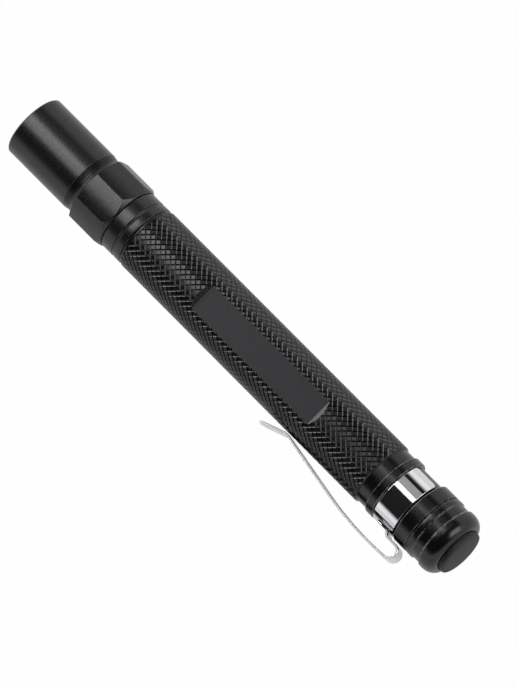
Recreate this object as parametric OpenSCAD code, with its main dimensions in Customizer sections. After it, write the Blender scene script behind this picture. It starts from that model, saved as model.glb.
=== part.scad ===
// Penlight for two AAA cells: screw-on octagon head, knurled grip with a milled nameplate flat,
// swivelling folded-steel pocket clip and a screw-on tail cap with a click switch.
// Every piece is drawn standing on its front rim, with heights called stations, and is then laid
// along X: the beam leaves along +X, the nameplate faces +Z and the clip lies on the +Y side.

/* [Cells] */
// Number of cells in the stack
cell_count = 2; // [2:1:2]
// Diameter of one cell over its jacket
cell_d = 10.5; // [9.6:0.1:11.4]
// Length of one cell, terminal nub included
cell_len = 44.5; // [40:0.5:50]
// Diameter of the terminal nub
cell_nub_d = 3.8; // [3:0.1:5]
// Height of the terminal nub
cell_nub_h = 1; // [0.6:0.1:1.6]
// Drop of the crimped shoulder round the nub
cell_crimp = 0.4; // [0.2:0.1:0.8]
// Thickness of the cell's plastic jacket
jacket_t = 0.13; // [0.1:0.01:0.2]
// Room round the cells in the battery bay
bay_clearance = 0.25; // [0.15:0.05:0.4]

/* [Grip] */
// Wall of the barrel at the knurled grip
grip_wall = 2; // [1.7:0.1:2.6]
// Length of the cell stack that lies outside the grip
cells_past_grip = 17.5; // [16.5:0.1:19]
// Chamfer at each end of the grip
grip_chamfer = 0.35; // [0.2:0.05:0.5]
// Distance of the nameplate flat from the front of the grip
plate_offset = 19.4; // [12:0.1:26]
// Length of the nameplate flat
plate_len = 35; // [25:0.5:40]
// Depth of the nameplate flat below the grip's crest
plate_depth = 0.8; // [0.5:0.05:1]
// Angle of the ramps at the ends of the flat
plate_ramp = 37; // [30:1:60]

/* [Barrel ends] */
// Length of the collar in front of the grip
collar_len = 5.9; // [5.2:0.1:7]
// Drop of the collar below the grip
collar_drop = 0.125; // [0.05:0.025:0.3]
// Width of the groove turned round the collar
collar_groove_w = 0.65; // [0.4:0.05:0.8]
// Depth of the groove turned round the collar
collar_groove_depth = 0.35; // [0.2:0.05:0.5]
// Distance of that groove from the head
collar_groove_offset = 3.05; // [2.4:0.05:3.4]
// Width of the relief between the collar and the grip
relief_w = 0.4; // [0.3:0.05:0.8]
// Depth of the relief below the grip
relief_depth = 0.5; // [0.3:0.05:0.7]
// Length of the undercut behind the grip
undercut_len = 2.7; // [2.2:0.1:3.4]
// Depth of the undercut below the grip
undercut_depth = 0.4; // [0.3:0.05:0.7]
// Length of the flange in front of the clip
flange_len = 2.2; // [1.8:0.1:3]
// Length of the neck that the clip swivels in
neck_len = 6.1; // [5.4:0.1:7]
// Depth of that neck below the grip
neck_depth = 0.7; // [0.6:0.05:0.9]
// Chamfer on the barrel's turned edges
edge_chamfer = 0.2; // [0.1:0.05:0.3]

/* [Threaded spigots] */
// Wall of the threaded spigots at both ends of the barrel
spigot_wall = 0.9; // [0.8:0.05:1]
// Length of the spigot inside the head
head_spigot_len = 6.8; // [6:0.1:7.4]
// Radial play of the screw threads
thread_clearance = 0.1; // [0.08:0.01:0.15]
// Distance of each sealing ring from the root of its spigot
seal_offset = 1.5; // [1.2:0.1:2]
// Thickness of the sealing rings' cord
seal_cord = 0.5; // [0.4:0.05:0.55]

/* [Head] */
// Length of the round front tube
tube_len = 17; // [15:0.1:19]
// Wall of the front tube
tube_wall = 0.8; // [0.7:0.05:1.2]
// Chamfer round the front rim
rim_chamfer = 0.3; // [0.2:0.05:0.5]
// Thickness of the lip that holds the lens
lip_t = 1.2; // [0.9:0.1:1.6]
// Width of the lip inside the tube
lip_w = 0.7; // [0.5:0.05:0.9]
// Bevel of the light opening
lip_bevel = 0.5; // [0.3:0.05:0.6]
// Length of the shallow neck behind the tube
head_neck_len = 2.6; // [2.2:0.1:3.2]
// Depth of that neck below the tube
head_neck_depth = 0.3; // [0.2:0.05:0.4]
// Share of that neck that slopes down from the tube
neck_slope_share = 0.65; // [0.5:0.05:0.75]
// Length of the octagon
oct_len = 9.2; // [8.4:0.1:11]
// Rise of the octagon's flats above the tube
oct_rise = 0.35; // [0.2:0.05:0.6]
// Length of the turned chamfer at the front of the octagon
oct_front_chamfer = 0.35; // [0.3:0.05:0.8]
// Drop of the octagon's front edge below its flats
oct_front_drop = 0.1; // [0.05:0.05:0.25]
// Length of the turned chamfer at the rear of the octagon
oct_rear_chamfer = 1.3; // [1:0.1:1.6]
// Drop of the octagon's rear face below its flats
oct_rear_drop = 0.15; // [0.1:0.05:0.4]
// Turn of the octagon from the nameplate towards the clip in degrees, with the head screwed home
oct_turn = 5; // [0:1:44]

/* [Light engine] */
// Thickness of the cord that seals the lens
lens_seal_cord = 0.8; // [0.6:0.05:1]
// Thickness of the lens
lens_t = 1.6; // [1.2:0.1:2]
// Bevel round the lens
lens_bevel = 0.2; // [0.1:0.05:0.3]
// Depth of the reflector
reflector_depth = 8.6; // [7.8:0.1:9.4]
// Wall of the reflector at its mouth
reflector_wall = 0.5; // [0.4:0.05:0.8]
// Diameter of the hole for the emitter
reflector_hole_d = 5.2; // [5.1:0.1:5.8]
// Thickness of the gasket that centres the emitter
gasket_t = 0.5; // [0.4:0.05:0.6]
// Width of the gasket round the emitter's hole
gasket_w = 0.8; // [0.6:0.1:1.2]
// Side of the square emitter
emitter_side = 3.45; // [3:0.05:3.5]
// Thickness of the emitter's base
emitter_t = 0.7; // [0.6:0.05:0.9]
// Diameter of the emitter's dome
emitter_dome_d = 2.6; // [2:0.1:2.9]
// Thickness of the emitter's board
led_board_t = 1; // [0.8:0.1:1.4]
// Thickness of the heat sink's front wall
pill_front_wall = 2; // [1.5:0.1:2.6]
// Wall of the heat sink round its rear pocket
pill_wall = 0.9; // [0.8:0.1:1.2]
// Thickness of the driver board
driver_t = 1; // [0.8:0.1:1.3]
// Depth of the driver board below the heat sink's rear rim
driver_setback = 0.4; // [0.2:0.1:0.6]
// Width of the ledge that the driver board seats on
driver_ledge = 0.4; // [0.3:0.05:0.6]
// Side of the square inductor on the driver board
inductor_side = 3; // [2.5:0.1:3.5]
// Height of the inductor
inductor_h = 1.6; // [1.2:0.1:2]
// Diameter of the emitter's two leads
lead_d = 0.7; // [0.5:0.05:0.9]
// Distance of the nub of the front cell from the front of the spigot
cell_setback = 2.5; // [2:0.1:3]

/* [Tail cap] */
// Length of the tail cap
cap_len = 11.4; // [10.6:0.1:13]
// Rise of the cap's lands above the grip
cap_rise = 0.05; // [0:0.05:0.2]
// Chamfer at the front of the cap
cap_chamfer = 0.4; // [0.2:0.05:0.5]
// Distance of the narrow groove from the front of the cap
cap_groove_offset = 3.6; // [3:0.1:4.2]
// Width of the narrow groove
cap_groove_w = 0.5; // [0.3:0.05:0.7]
// Depth of the narrow groove
cap_groove_depth = 0.4; // [0.2:0.05:0.45]
// Length of the land between the two grooves
cap_land_len = 1.5; // [1.2:0.1:2]
// Width of the wide shallow groove
cap_waist_w = 2; // [1.6:0.1:2.4]
// Depth of the wide shallow groove
cap_waist_depth = 0.3; // [0.2:0.05:0.4]
// Rise of the rounded bulge above the cap's lands
cap_bulge_rise = 0.05; // [0:0.05:0.1]
// Length of the rounded end
cap_round_len = 2.7; // [2.2:0.1:3.2]
// Thickness of the wall round the button
cap_end_wall = 1.6; // [1.3:0.1:2]

/* [Button and switch] */
// Travel of the button
button_travel = 1.5; // [1:0.1:1.6]
// Radial gap between the button and its hole
button_clearance = 0.15; // [0.1:0.05:0.25]
// Width of the button's hidden flange
button_flange_w = 0.65; // [0.5:0.05:0.8]
// Thickness of the button's hidden flange
button_flange_t = 0.7; // [0.5:0.1:0.9]
// Height of the button's side above the cap
button_side = 0.8; // [0.5:0.1:1.3]
// Height of the button's dome
button_dome = 0.8; // [0.5:0.1:1.2]
// Depth of the plunger's socket under the button
button_socket = 0.8; // [0.5:0.1:1]
// Step between the cap's thread and the button's pocket
seat_step = 0.4; // [0.3:0.05:0.5]
// Thickness of the switch's flange
switch_flange_t = 0.8; // [0.6:0.1:1]
// Thickness of the ring that screws in behind the switch
retainer_t = 1; // [0.8:0.1:1.2]
// Width of the spanner slots in that ring
retainer_slot_w = 1.4; // [1:0.1:1.8]
// Length of the switch housing below its seat
housing_len = 6; // [5.6:0.1:6.6]
// Floor of the switch housing
housing_floor = 0.8; // [0.6:0.1:1]
// Diameter of the plunger
plunger_d = 3.6; // [3:0.1:4]
// Width of the plunger's stop collar
plunger_collar_w = 1; // [0.7:0.1:1.1]
// Thickness of the plunger's stop collar
plunger_collar_t = 0.7; // [0.5:0.1:0.9]
// Thickness of the switch board
switch_board_t = 1; // [0.8:0.1:1.2]
// Diameter of the switch's two terminal pins
terminal_d = 0.8; // [0.6:0.05:0.9]
// Depth of the terminal pins in the housing
terminal_depth = 0.6; // [0.4:0.05:0.7]

/* [Clip] */
// Thickness of the clip's spring steel
clip_t = 0.55; // [0.45:0.05:0.65]
// Width of the clip's arm
clip_w = 5; // [4:0.1:5.6]
// Angle that the clip's band wraps
clip_wrap = 294; // [270:1:310]
// Swivel of the clip at rest, towards the nameplate, in degrees
clip_turn = 3; // [-10:1:10]
// Side play of the band in its neck
band_side_gap = 0.15; // [0.1:0.05:0.4]
// Radius of the band's corners
band_corner_r = 0.65; // [0.4:0.05:1]
// Length of the joggle that lifts the leg over the cap
joggle_run = 1.8; // [1.6:0.1:2.4]
// Distance between the end of the joggle and the cap
joggle_lead = 0.3; // [0.2:0.05:0.5]
// Length of the straight leg before the fold
leg_len = 2.2; // [1.8:0.1:3]
// Centre-line radius of the fold
fold_r = 1.6; // [1.4:0.05:1.65]
// Angle of the fold
fold_turn = 176; // [172:1:178]
// Radius of the arm's long arch
arch_r = 75; // [65:1:85]
// Slope of the arm towards the grip
arm_slope = 9.6; // [8.5:0.1:10.5]
// Bend radius where the arm rests on the grip
contact_r = 2.5; // [1.5:0.1:4]
// Slope of the lip at the free end
lip_slope = 19; // [12:1:28]
// Length of the lip
lip_len = 6; // [4:0.1:7.5]
// Radius of the lip's corners
lip_corner_r = 1.8; // [1:0.1:1.95]

/* [Springs] */
// Wire of the tail spring
tail_wire = 0.6; // [0.5:0.05:0.7]
// Turns of the tail spring
tail_turns = 2.5; // [2:0.5:2.5]
// Wire of the contact spring in the head
contact_wire = 0.5; // [0.4:0.05:0.55]
// Turns of the contact spring
contact_turns = 2; // [1.5:0.5:2]
// Wire of the switch's return spring
return_wire = 0.4; // [0.3:0.05:0.45]
// Turns of the return spring
return_turns = 3; // [2:0.5:3]

/* [Hidden] */
$fn = 96;
overrun = 1;

// Small fits shared by the pieces
seat_gap = 0.02;
slip_gap = 0.1;
pin_gap = 0.05;
band_clearance = 0.05;
leg_clearance = 0.3;
contact_clearance = 0.2;
pocket_clearance = 0.2;
face_gap = 0.05;

// Radii from the cells outwards
bay_r = cell_d / 2 + bay_clearance;
grip_r = bay_r + grip_wall;
spigot_r = bay_r + spigot_wall;
thread_bore_r = spigot_r + thread_clearance;
collar_r = grip_r - collar_drop;
relief_r = grip_r - relief_depth;
undercut_r = grip_r - undercut_depth;
neck_r = grip_r - neck_depth;
tube_r = thread_bore_r + tube_wall;
head_neck_r = tube_r - head_neck_depth;
oct_flat_r = tube_r + oct_rise;
oct_corner_r = oct_flat_r / cos(180 / 8);
mouth_r = thread_bore_r - lip_w;
engine_r = thread_bore_r - slip_gap;
cap_r = grip_r + cap_rise;
bulge_r = cap_r + cap_bulge_rise;
pocket_r = thread_bore_r - seat_step;
button_flange_r = pocket_r - button_clearance;
button_r = button_flange_r - button_flange_w;
button_hole_r = button_r + button_clearance;

// Stations of the outside, from the front rim
neck_front = tube_len;
neck_floor = neck_front + neck_slope_share * head_neck_len;
oct_front = neck_front + head_neck_len;
split = oct_front + oct_len;
grip_front = split + collar_len;
grip_len = cell_count * cell_len - cells_past_grip;
grip_rear = grip_front + grip_len;
flange_front = grip_rear + undercut_len;
clip_neck_front = flange_front + flange_len;
cap_front = clip_neck_front + neck_len;
cap_rear = cap_front + cap_len;

// Stations of the light engine
lens_front = lip_t + lens_seal_cord + seat_gap;
reflector_front = lens_front + lens_t;
led_board_front = reflector_front + reflector_depth;
pill_front = led_board_front + led_board_t;
spigot_front = split - head_spigot_len;
pill_rear = spigot_front - slip_gap;
driver_rear = pill_rear - driver_setback;
driver_front = driver_rear - driver_t;
driver_r = engine_r - pill_wall;
pill_pocket_r = driver_r - driver_ledge;
pill_pocket_front = pill_front + pill_front_wall;
emitter_hole_r = reflector_hole_d / 2;
gasket_r = emitter_hole_r + gasket_w;
reflector_mouth_r = engine_r - reflector_wall;

// Stations of the cells
cells_front = spigot_front + cell_setback;
cells_rear = cells_front + cell_count * cell_len;
can_r = cell_d / 2 - jacket_t - seat_gap;

// Stations of the switch, from the end of the cap inwards
end_wall_front = cap_rear - cap_end_wall;
button_front = end_wall_front - button_flange_t;
switch_seat = button_front - button_travel - pocket_clearance;
switch_flange_front = switch_seat - switch_flange_t;
retainer_front = switch_flange_front - retainer_t;
spigot_rear = retainer_front - slip_gap;
housing_front = switch_seat - housing_len;
switch_board_front = housing_front - switch_board_t;
housing_r = bay_r - bay_clearance - pin_gap;
plunger_r = plunger_d / 2;
plunger_collar_r = plunger_r + plunger_collar_w;
switch_bore_r = plunger_collar_r + pocket_clearance;
switch_bore_front = housing_front + housing_floor;
collar_rear = switch_flange_front - pocket_clearance;
plunger_front = collar_rear - plunger_collar_t;
terminal_place_r = (switch_bore_r + housing_r) / 2;

// The clip's centre line in the plane of the axis: stations run tailwards, heights run outwards
band_r = neck_r + band_clearance;
band_front = clip_neck_front + band_side_gap;
band_rear = cap_front - band_side_gap;
root_lift = 0.05;
root_len = 2.2;
root_y = band_r + root_lift + clip_t / 2;
leg_y = bulge_r + leg_clearance + clip_t / 2;
joggle_rise = leg_y - root_y;
joggle_turn = 2 * atan(joggle_rise / joggle_run);
joggle_r = joggle_run / (2 * sin(joggle_turn));
root_front = cap_front - joggle_lead - joggle_run - root_len;
fold_y = leg_y + fold_r - fold_r * cos(fold_turn);
arch_turn = 180 + arm_slope - fold_turn;
arch_y = fold_y + arch_r * (cos(arm_slope) - cos(180 - fold_turn));
contact_y = grip_r + contact_clearance + clip_t / 2;
slope_end_y = contact_y + contact_r * (1 - cos(arm_slope));
arm_len = (arch_y - slope_end_y) / sin(arm_slope);
clip_legs = [
    [root_len, 0],
    [bend_len(joggle_r, joggle_turn), joggle_turn],
    [bend_len(joggle_r, joggle_turn), -joggle_turn],
    [leg_len, 0],
    [bend_len(fold_r, fold_turn), fold_turn],
    [bend_len(arch_r, arch_turn), arch_turn],
    [arm_len, 0],
    [bend_len(contact_r, arm_slope + lip_slope), -arm_slope - lip_slope],
    [lip_len, 0]
];
bend_steps = 12;
clip_line = walk([root_front, root_y, 0], [
    for (leg = clip_legs)
        let (steps = leg[1] == 0 ? 1 : bend_steps)
            for (k = [1:steps]) leg / steps
]);
clip_tip = clip_line[len(clip_line) - 1];

// Springs: rings per turn, sides of the wire and the shares of the radii that they fill
coil_rings = 16;
coil_sides = 6;
tail_spring_base_share = 0.78;
tail_spring_tip_share = 0.5;
contact_base_share = 0.5;
contact_tip_share = 0.26;
return_share = 0.72;

// Length of a bend of a strip
function bend_len(r, turn) = r * turn * PI / 180;

// One step along a strip: straight, or the chord of an arc
function step_on(at, move) =
    let (
        turn = move[1],
        chord = turn == 0 ? move[0] : 2 * move[0] / (turn * PI / 180) * sin(turn / 2),
        way = at[2] + turn / 2
    )
    [at[0] + chord * cos(way), at[1] + chord * sin(way), at[2] + turn];

// All places along a strip, each with its heading
function walk(start, moves) = [
    for (k = 0, at = start; k <= len(moves); at = k < len(moves) ? step_on(at, moves[k]) : at, k = k + 1) at
];

// Outline of a strip of even thickness about its centre line
function strip_outline(line, t) = concat(
    [for (p = line) [p[0] - t / 2 * sin(p[2]), p[1] + t / 2 * cos(p[2])]],
    [for (k = [len(line) - 1:-1:0]) let (p = line[k]) [p[0] + t / 2 * sin(p[2]), p[1] - t / 2 * cos(p[2])]]
);

// Quarter of an ellipse from its widest radius to its end
function rounded_end(wide_r, end_r, front, rear, steps = 10) = [
    for (k = [0:steps])
        let (turn = 90 * k / steps)
            [end_r + (wide_r - end_r) * cos(turn), front + (rear - front) * sin(turn)]
];

// Soft-shouldered dome from its rim to its crown
dome_power = 2.6;
function dome(r, front, height, steps = 14) = [
    for (k = [0:steps])
        let (share = cos(90 * k / steps))
            [r * share, front + height * pow(1 - pow(share, dome_power), 1 / dome_power)]
];

// Centre line of a conical coil
function coil_line(r0, r1, front, rear, turns) = [
    for (k = [0:turns * coil_rings])
        let (share = k / (turns * coil_rings), turn = 360 * turns * share, r = r0 + (r1 - r0) * share)
            [r * cos(turn), r * sin(turn), front + (rear - front) * share]
];

function unit(v) = v / norm(v);

// Rings of points round a coil's centre line
function coil_points(line, wire) = [
    for (k = [0:len(line) - 1])
        let (
            last = len(line) - 1,
            ahead = unit(line[min(k + 1, last)] - line[max(k - 1, 0)]),
            out = unit([line[k][0], line[k][1], 0]),
            up = unit(cross(ahead, out)),
            across = cross(up, ahead)
        )
        for (j = [0:coil_sides - 1])
            line[k] + wire / 2 * (cos(360 * j / coil_sides) * across + sin(360 * j / coil_sides) * up)
];

function coil_faces(rings) = concat(
    [for (j = [1:coil_sides - 2]) [0, j, j + 1]],
    [
        for (k = [0:rings - 2], j = [0:coil_sides - 1])
            let (a = k * coil_sides + j, b = k * coil_sides + (j + 1) % coil_sides)
                for (half = [[a, a + coil_sides, b], [b, a + coil_sides, b + coil_sides]]) half
    ],
    [
        for (j = [1:coil_sides - 2])
            let (base = (rings - 1) * coil_sides) [base, base + j + 1, base + j]
    ]
);

// Least gap between the turns of a coil, measured on its centre line
function coil_gap(line, wire) = min([
    for (a = [0:len(line) - 1], b = [0:len(line) - 1])
        if (b >= a + coil_rings / 2) norm(line[a] - line[b]) - wire
]);

module lay_down() {
    rotate([0, -90, 0]) children();
}

module turned(outline) {
    rotate_extrude() polygon(outline);
}

module ring(r_in, r_out, front, rear) {
    turned([[r_in, front], [r_out, front], [r_out, rear], [r_in, rear]]);
}

module seal(r, cord, station) {
    translate([0, 0, station]) rotate_extrude() translate([r, 0]) circle(d = cord);
}

module coil(line, wire) {
    polyhedron(coil_points(line, wire), coil_faces(len(line)));
}

// Blunt corner that rounds off a sheet edge when it is cut away
module corner(r, depth) {
    linear_extrude(depth, center = true)
        difference() {
            translate([-overrun, -overrun]) square(r + overrun);
            translate([r, r]) circle(r);
        }
}

// Head

module head_outside() {
    turned([
        [0, 0], [tube_r - rim_chamfer, 0], [tube_r, rim_chamfer], [tube_r, neck_front],
        [head_neck_r, neck_floor], [head_neck_r, neck_floor + overrun], [0, neck_floor + overrun]
    ]);
    intersection() {
        turned([
            [0, neck_floor], [head_neck_r, neck_floor], [oct_flat_r - oct_front_drop, oct_front],
            [oct_corner_r + seat_gap, oct_front + oct_front_chamfer],
            [oct_corner_r + seat_gap, split - oct_rear_chamfer],
            [oct_flat_r - oct_rear_drop, split], [0, split]
        ]);
        translate([0, 0, neck_floor - overrun])
            rotate(180 / 8 + oct_turn)
                cylinder(r = oct_corner_r, h = split - neck_floor + 2 * overrun, $fn = 8);
    }
}

module head_shell() {
    color("#262728") lay_down() difference() {
        head_outside();
        turned([
            [0, -overrun], [mouth_r + lip_bevel + overrun, -overrun], [mouth_r, lip_bevel],
            [mouth_r, lip_t], [thread_bore_r, lip_t], [thread_bore_r, split + overrun], [0, split + overrun]
        ]);
    }
}

module lens_seal() {
    color("#202020") lay_down()
        seal(engine_r - lens_seal_cord / 2, lens_seal_cord, lip_t + lens_seal_cord / 2);
}

module lens() {
    color("#dfe9ee", 0.5) lay_down() turned([
        [0, lens_front], [engine_r - lens_bevel, lens_front], [engine_r, lens_front + lens_bevel],
        [engine_r, reflector_front], [0, reflector_front]
    ]);
}

// Paraboloid whose focus lies in the emitter's dome
focus_station = led_board_front - emitter_t;
focus_run = focus_station - reflector_front;
focus_len = (sqrt(focus_run * focus_run + reflector_mouth_r * reflector_mouth_r) - focus_run) / 2;
bowl_rear = focus_station + focus_len - emitter_hole_r * emitter_hole_r / (4 * focus_len);
bowl_steps = 12;
bowl_outline = [
    for (k = [0:bowl_steps])
        let (r = reflector_mouth_r + (emitter_hole_r - reflector_mouth_r) * k / bowl_steps)
            [r, focus_station + focus_len - r * r / (4 * focus_len)]
];

module reflector() {
    color("#d9dcde") lay_down() turned(concat(
        bowl_outline,
        [
            [emitter_hole_r, led_board_front - gasket_t - pin_gap],
            [gasket_r + pin_gap, led_board_front - gasket_t - pin_gap],
            [gasket_r + pin_gap, led_board_front],
            [engine_r, led_board_front], [engine_r, reflector_front]
        ]
    ));
}

module led_gasket() {
    color("#eeeeea") lay_down() translate([0, 0, led_board_front - gasket_t])
        linear_extrude(gasket_t) difference() {
            circle(gasket_r);
            square(emitter_side + 2 * pin_gap, center = true);
        }
}

module led_emitter() {
    color("#f2e58c") lay_down() {
        translate([0, 0, led_board_front - emitter_t]) linear_extrude(emitter_t)
            square(emitter_side, center = true);
        turned(concat(
            [[0, led_board_front - emitter_t / 2], [emitter_dome_d / 2, led_board_front - emitter_t / 2]],
            rounded_end(emitter_dome_d / 2, 0, led_board_front - emitter_t,
                led_board_front - emitter_t - emitter_dome_d / 2)
        ));
    }
}

module lead_places() {
    for (side = [-1, 1]) translate([0, side * (pill_pocket_r - lead_d), 0]) children();
}

module led_board() {
    color("#f4f4f2") lay_down() ring(0, engine_r - slip_gap, led_board_front, pill_front);
}

module led_leads() {
    color("#b03a2e") lay_down() lead_places()
        translate([0, 0, pill_front]) cylinder(d = lead_d, h = driver_front - pill_front);
}

module led_pill() {
    color("#b08d4a") lay_down() difference() {
        ring(0, engine_r, pill_front, pill_rear);
        turned([
            [0, pill_pocket_front], [pill_pocket_r, pill_pocket_front], [pill_pocket_r, driver_front],
            [driver_r + pin_gap, driver_front], [driver_r + pin_gap, pill_rear + overrun],
            [0, pill_rear + overrun]
        ]);
        lead_places() translate([0, 0, pill_front - overrun])
            cylinder(d = lead_d + 2 * slip_gap, h = pill_front_wall + 2 * overrun);
    }
}

module driver_board() {
    color("#1f6b3a") lay_down() ring(0, driver_r, driver_front, driver_rear);
}

module driver_inductor() {
    color("#3a3a3a") lay_down() translate([0, 0, driver_front - inductor_h])
        linear_extrude(inductor_h) square(inductor_side, center = true);
}

contact_line = coil_line(
    driver_r * contact_base_share, driver_r * contact_tip_share,
    driver_rear + contact_wire / 2 + seat_gap, cells_front - contact_wire / 2 - face_gap, contact_turns
);

module contact_spring() {
    color("#c9a24b") lay_down() coil(contact_line, contact_wire);
}

// Barrel

module nameplate_cut() {
    plate_front = grip_front + plate_offset;
    plate_rear = plate_front + plate_len;
    spread = (plate_depth + overrun) / tan(plate_ramp);
    translate([grip_r - plate_depth, 0, 0])
        rotate([90, 0, 0]) linear_extrude(2 * grip_r + 2 * overrun, center = true) polygon([
            [0, plate_front], [plate_depth + overrun, plate_front - spread],
            [plate_depth + overrun, plate_rear + spread], [0, plate_rear]
        ]);
}

seal_squeeze_share = 0.9;
seal_floor_r = spigot_r - seal_squeeze_share * seal_cord;
seal_r = seal_floor_r + seat_gap + seal_cord / 2;
seal_half_w = seal_cord / 2 + slip_gap;
head_seal_station = split - seal_offset;
tail_seal_station = cap_front + seal_offset;
groove_front = split + collar_groove_offset;

module barrel() {
    color("#262728") lay_down() difference() {
        turned([
            [bay_r, spigot_front], [spigot_r - edge_chamfer, spigot_front],
            [spigot_r, spigot_front + edge_chamfer],
            [spigot_r, head_seal_station - seal_half_w], [seal_floor_r, head_seal_station - seal_half_w],
            [seal_floor_r, head_seal_station + seal_half_w], [spigot_r, head_seal_station + seal_half_w],
            [spigot_r, split + face_gap], [collar_r - edge_chamfer, split + face_gap],
            [collar_r, split + face_gap + edge_chamfer],
            [collar_r, groove_front], [collar_r - collar_groove_depth, groove_front],
            [collar_r - collar_groove_depth, groove_front + collar_groove_w],
            [collar_r, groove_front + collar_groove_w],
            [collar_r, grip_front - relief_w - edge_chamfer], [relief_r, grip_front - relief_w],
            [relief_r, grip_front], [grip_r - grip_chamfer, grip_front],
            [grip_r, grip_front + grip_chamfer],
            [grip_r, grip_rear - grip_chamfer], [grip_r - grip_chamfer, grip_rear],
            [undercut_r, grip_rear], [undercut_r, flange_front],
            [grip_r - edge_chamfer, flange_front], [grip_r, flange_front + edge_chamfer],
            [grip_r, clip_neck_front - edge_chamfer], [grip_r - edge_chamfer, clip_neck_front],
            [neck_r, clip_neck_front], [neck_r, cap_front - edge_chamfer],
            [neck_r - edge_chamfer, cap_front],
            [spigot_r, cap_front], [spigot_r, tail_seal_station - seal_half_w],
            [seal_floor_r, tail_seal_station - seal_half_w],
            [seal_floor_r, tail_seal_station + seal_half_w], [spigot_r, tail_seal_station + seal_half_w],
            [spigot_r, spigot_rear - edge_chamfer], [spigot_r - edge_chamfer, spigot_rear],
            [bay_r, spigot_rear]
        ]);
        nameplate_cut();
    }
}

module head_oring() {
    color("#1c1c1c") lay_down() seal(seal_r, seal_cord, head_seal_station);
}

module tail_oring() {
    color("#1c1c1c") lay_down() seal(seal_r, seal_cord, tail_seal_station);
}

module cell_can(front) {
    rear = front + cell_len;
    shoulder = front + cell_nub_h;
    turned([
        [0, front], [cell_nub_d / 2 - cell_crimp / 2, front], [cell_nub_d / 2, front + cell_crimp / 2],
        [cell_nub_d / 2, shoulder], [can_r - cell_crimp, shoulder], [can_r, shoulder + cell_crimp],
        [can_r, rear - cell_crimp], [can_r - cell_crimp, rear], [0, rear]
    ]);
}

module cell_jacket(front) {
    ring(can_r + seat_gap, cell_d / 2, front + cell_nub_h + cell_crimp, front + cell_len - cell_crimp);
}

module front_cell() {
    color("#b9bcbf") lay_down() cell_can(cells_front);
}

module front_cell_jacket() {
    color("#8a6d3b") lay_down() cell_jacket(cells_front);
}

module rear_cell() {
    color("#b9bcbf") lay_down() cell_can(cells_front + cell_len);
}

module rear_cell_jacket() {
    color("#8a6d3b") lay_down() cell_jacket(cells_front + cell_len);
}

// Clip

module clip_band() {
    start = 90 - clip_wrap / 2;
    difference() {
        rotate(start) rotate_extrude(angle = clip_wrap)
            translate([band_r, band_front]) square([clip_t, band_rear - band_front]);
        for (end = [0, 1], edge = [0, 1])
            mirror([end, 0, 0]) rotate(start)
                translate([band_r, 0, edge == 0 ? band_front : band_rear])
                    mirror([0, 0, edge]) rotate([90, 0, 90]) corner(band_corner_r, 2 * overrun);
    }
}

// Saddle that joins the flat leg to the round band
module clip_root() {
    translate([0, 0, root_front]) linear_extrude(root_len + joggle_run / 3) difference() {
        translate([-clip_w / 2, 0]) square([clip_w, root_y]);
        circle(band_r + root_lift / 2);
    }
}

module clip_arm() {
    difference() {
        rotate([0, -90, 0]) linear_extrude(clip_w, center = true) polygon(strip_outline(clip_line, clip_t));
        for (side = [0, 1])
            mirror([side, 0, 0]) translate([-clip_w / 2, clip_tip[1], clip_tip[0]])
                rotate(-120, [1, 1, 1]) corner(lip_corner_r, 2 * lip_len);
    }
}

module pocket_clip() {
    color("#c8cacc") lay_down() rotate(-clip_turn) {
        clip_band();
        clip_root();
        clip_arm();
    }
}

// Tail cap and switch

cap_groove = cap_front + cap_groove_offset;
waist_front = cap_groove + cap_groove_w + cap_land_len;
waist_rear = waist_front + cap_waist_w;
bulge_front = waist_rear + cap_waist_depth;

module tail_cap() {
    color("#262728") lay_down() difference() {
        turned(concat(
            [
                [0, cap_front + face_gap], [cap_r - cap_chamfer, cap_front + face_gap],
                [cap_r, cap_front + face_gap + cap_chamfer],
                [cap_r, cap_groove], [cap_r - cap_groove_depth, cap_groove],
                [cap_r - cap_groove_depth, cap_groove + cap_groove_w], [cap_r, cap_groove + cap_groove_w],
                [cap_r, waist_front - cap_waist_depth / 2], [cap_r - cap_waist_depth, waist_front],
                [cap_r - cap_waist_depth, waist_rear]
            ],
            [[bulge_r, bulge_front]],
            rounded_end(bulge_r, button_hole_r + button_clearance, cap_rear - cap_round_len, cap_rear),
            [[0, cap_rear]]
        ));
        turned([
            [0, cap_front - overrun], [thread_bore_r, cap_front - overrun], [thread_bore_r, switch_seat],
            [pocket_r, switch_seat], [pocket_r, end_wall_front], [button_hole_r, end_wall_front],
            [button_hole_r, cap_rear + overrun], [0, cap_rear + overrun]
        ]);
    }
}

module push_button() {
    side_rear = cap_rear + button_side;
    color("#3a3c3c") lay_down() turned(concat(
        [
            [0, button_front + button_socket], [plunger_r + pin_gap, button_front + button_socket],
            [plunger_r + pin_gap, button_front], [button_flange_r, button_front],
            [button_flange_r, end_wall_front], [button_r, end_wall_front]
        ],
        dome(button_r, side_rear, button_dome)
    ));
}

module switch_plunger() {
    color("#d8d8d4") lay_down() turned([
        [0, plunger_front], [plunger_collar_r, plunger_front], [plunger_collar_r, collar_rear],
        [plunger_r, collar_rear], [plunger_r, button_front + button_socket],
        [0, button_front + button_socket]
    ]);
}

return_line = coil_line(
    switch_bore_r * return_share, switch_bore_r * return_share,
    switch_bore_front + return_wire / 2 + seat_gap, plunger_front - return_wire / 2 - seat_gap, return_turns
);

module switch_spring() {
    color("#c8cacc") lay_down() coil(return_line, return_wire);
}

module terminal_places() {
    for (side = [-1, 1]) translate([0, side * terminal_place_r, 0]) children();
}

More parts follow.
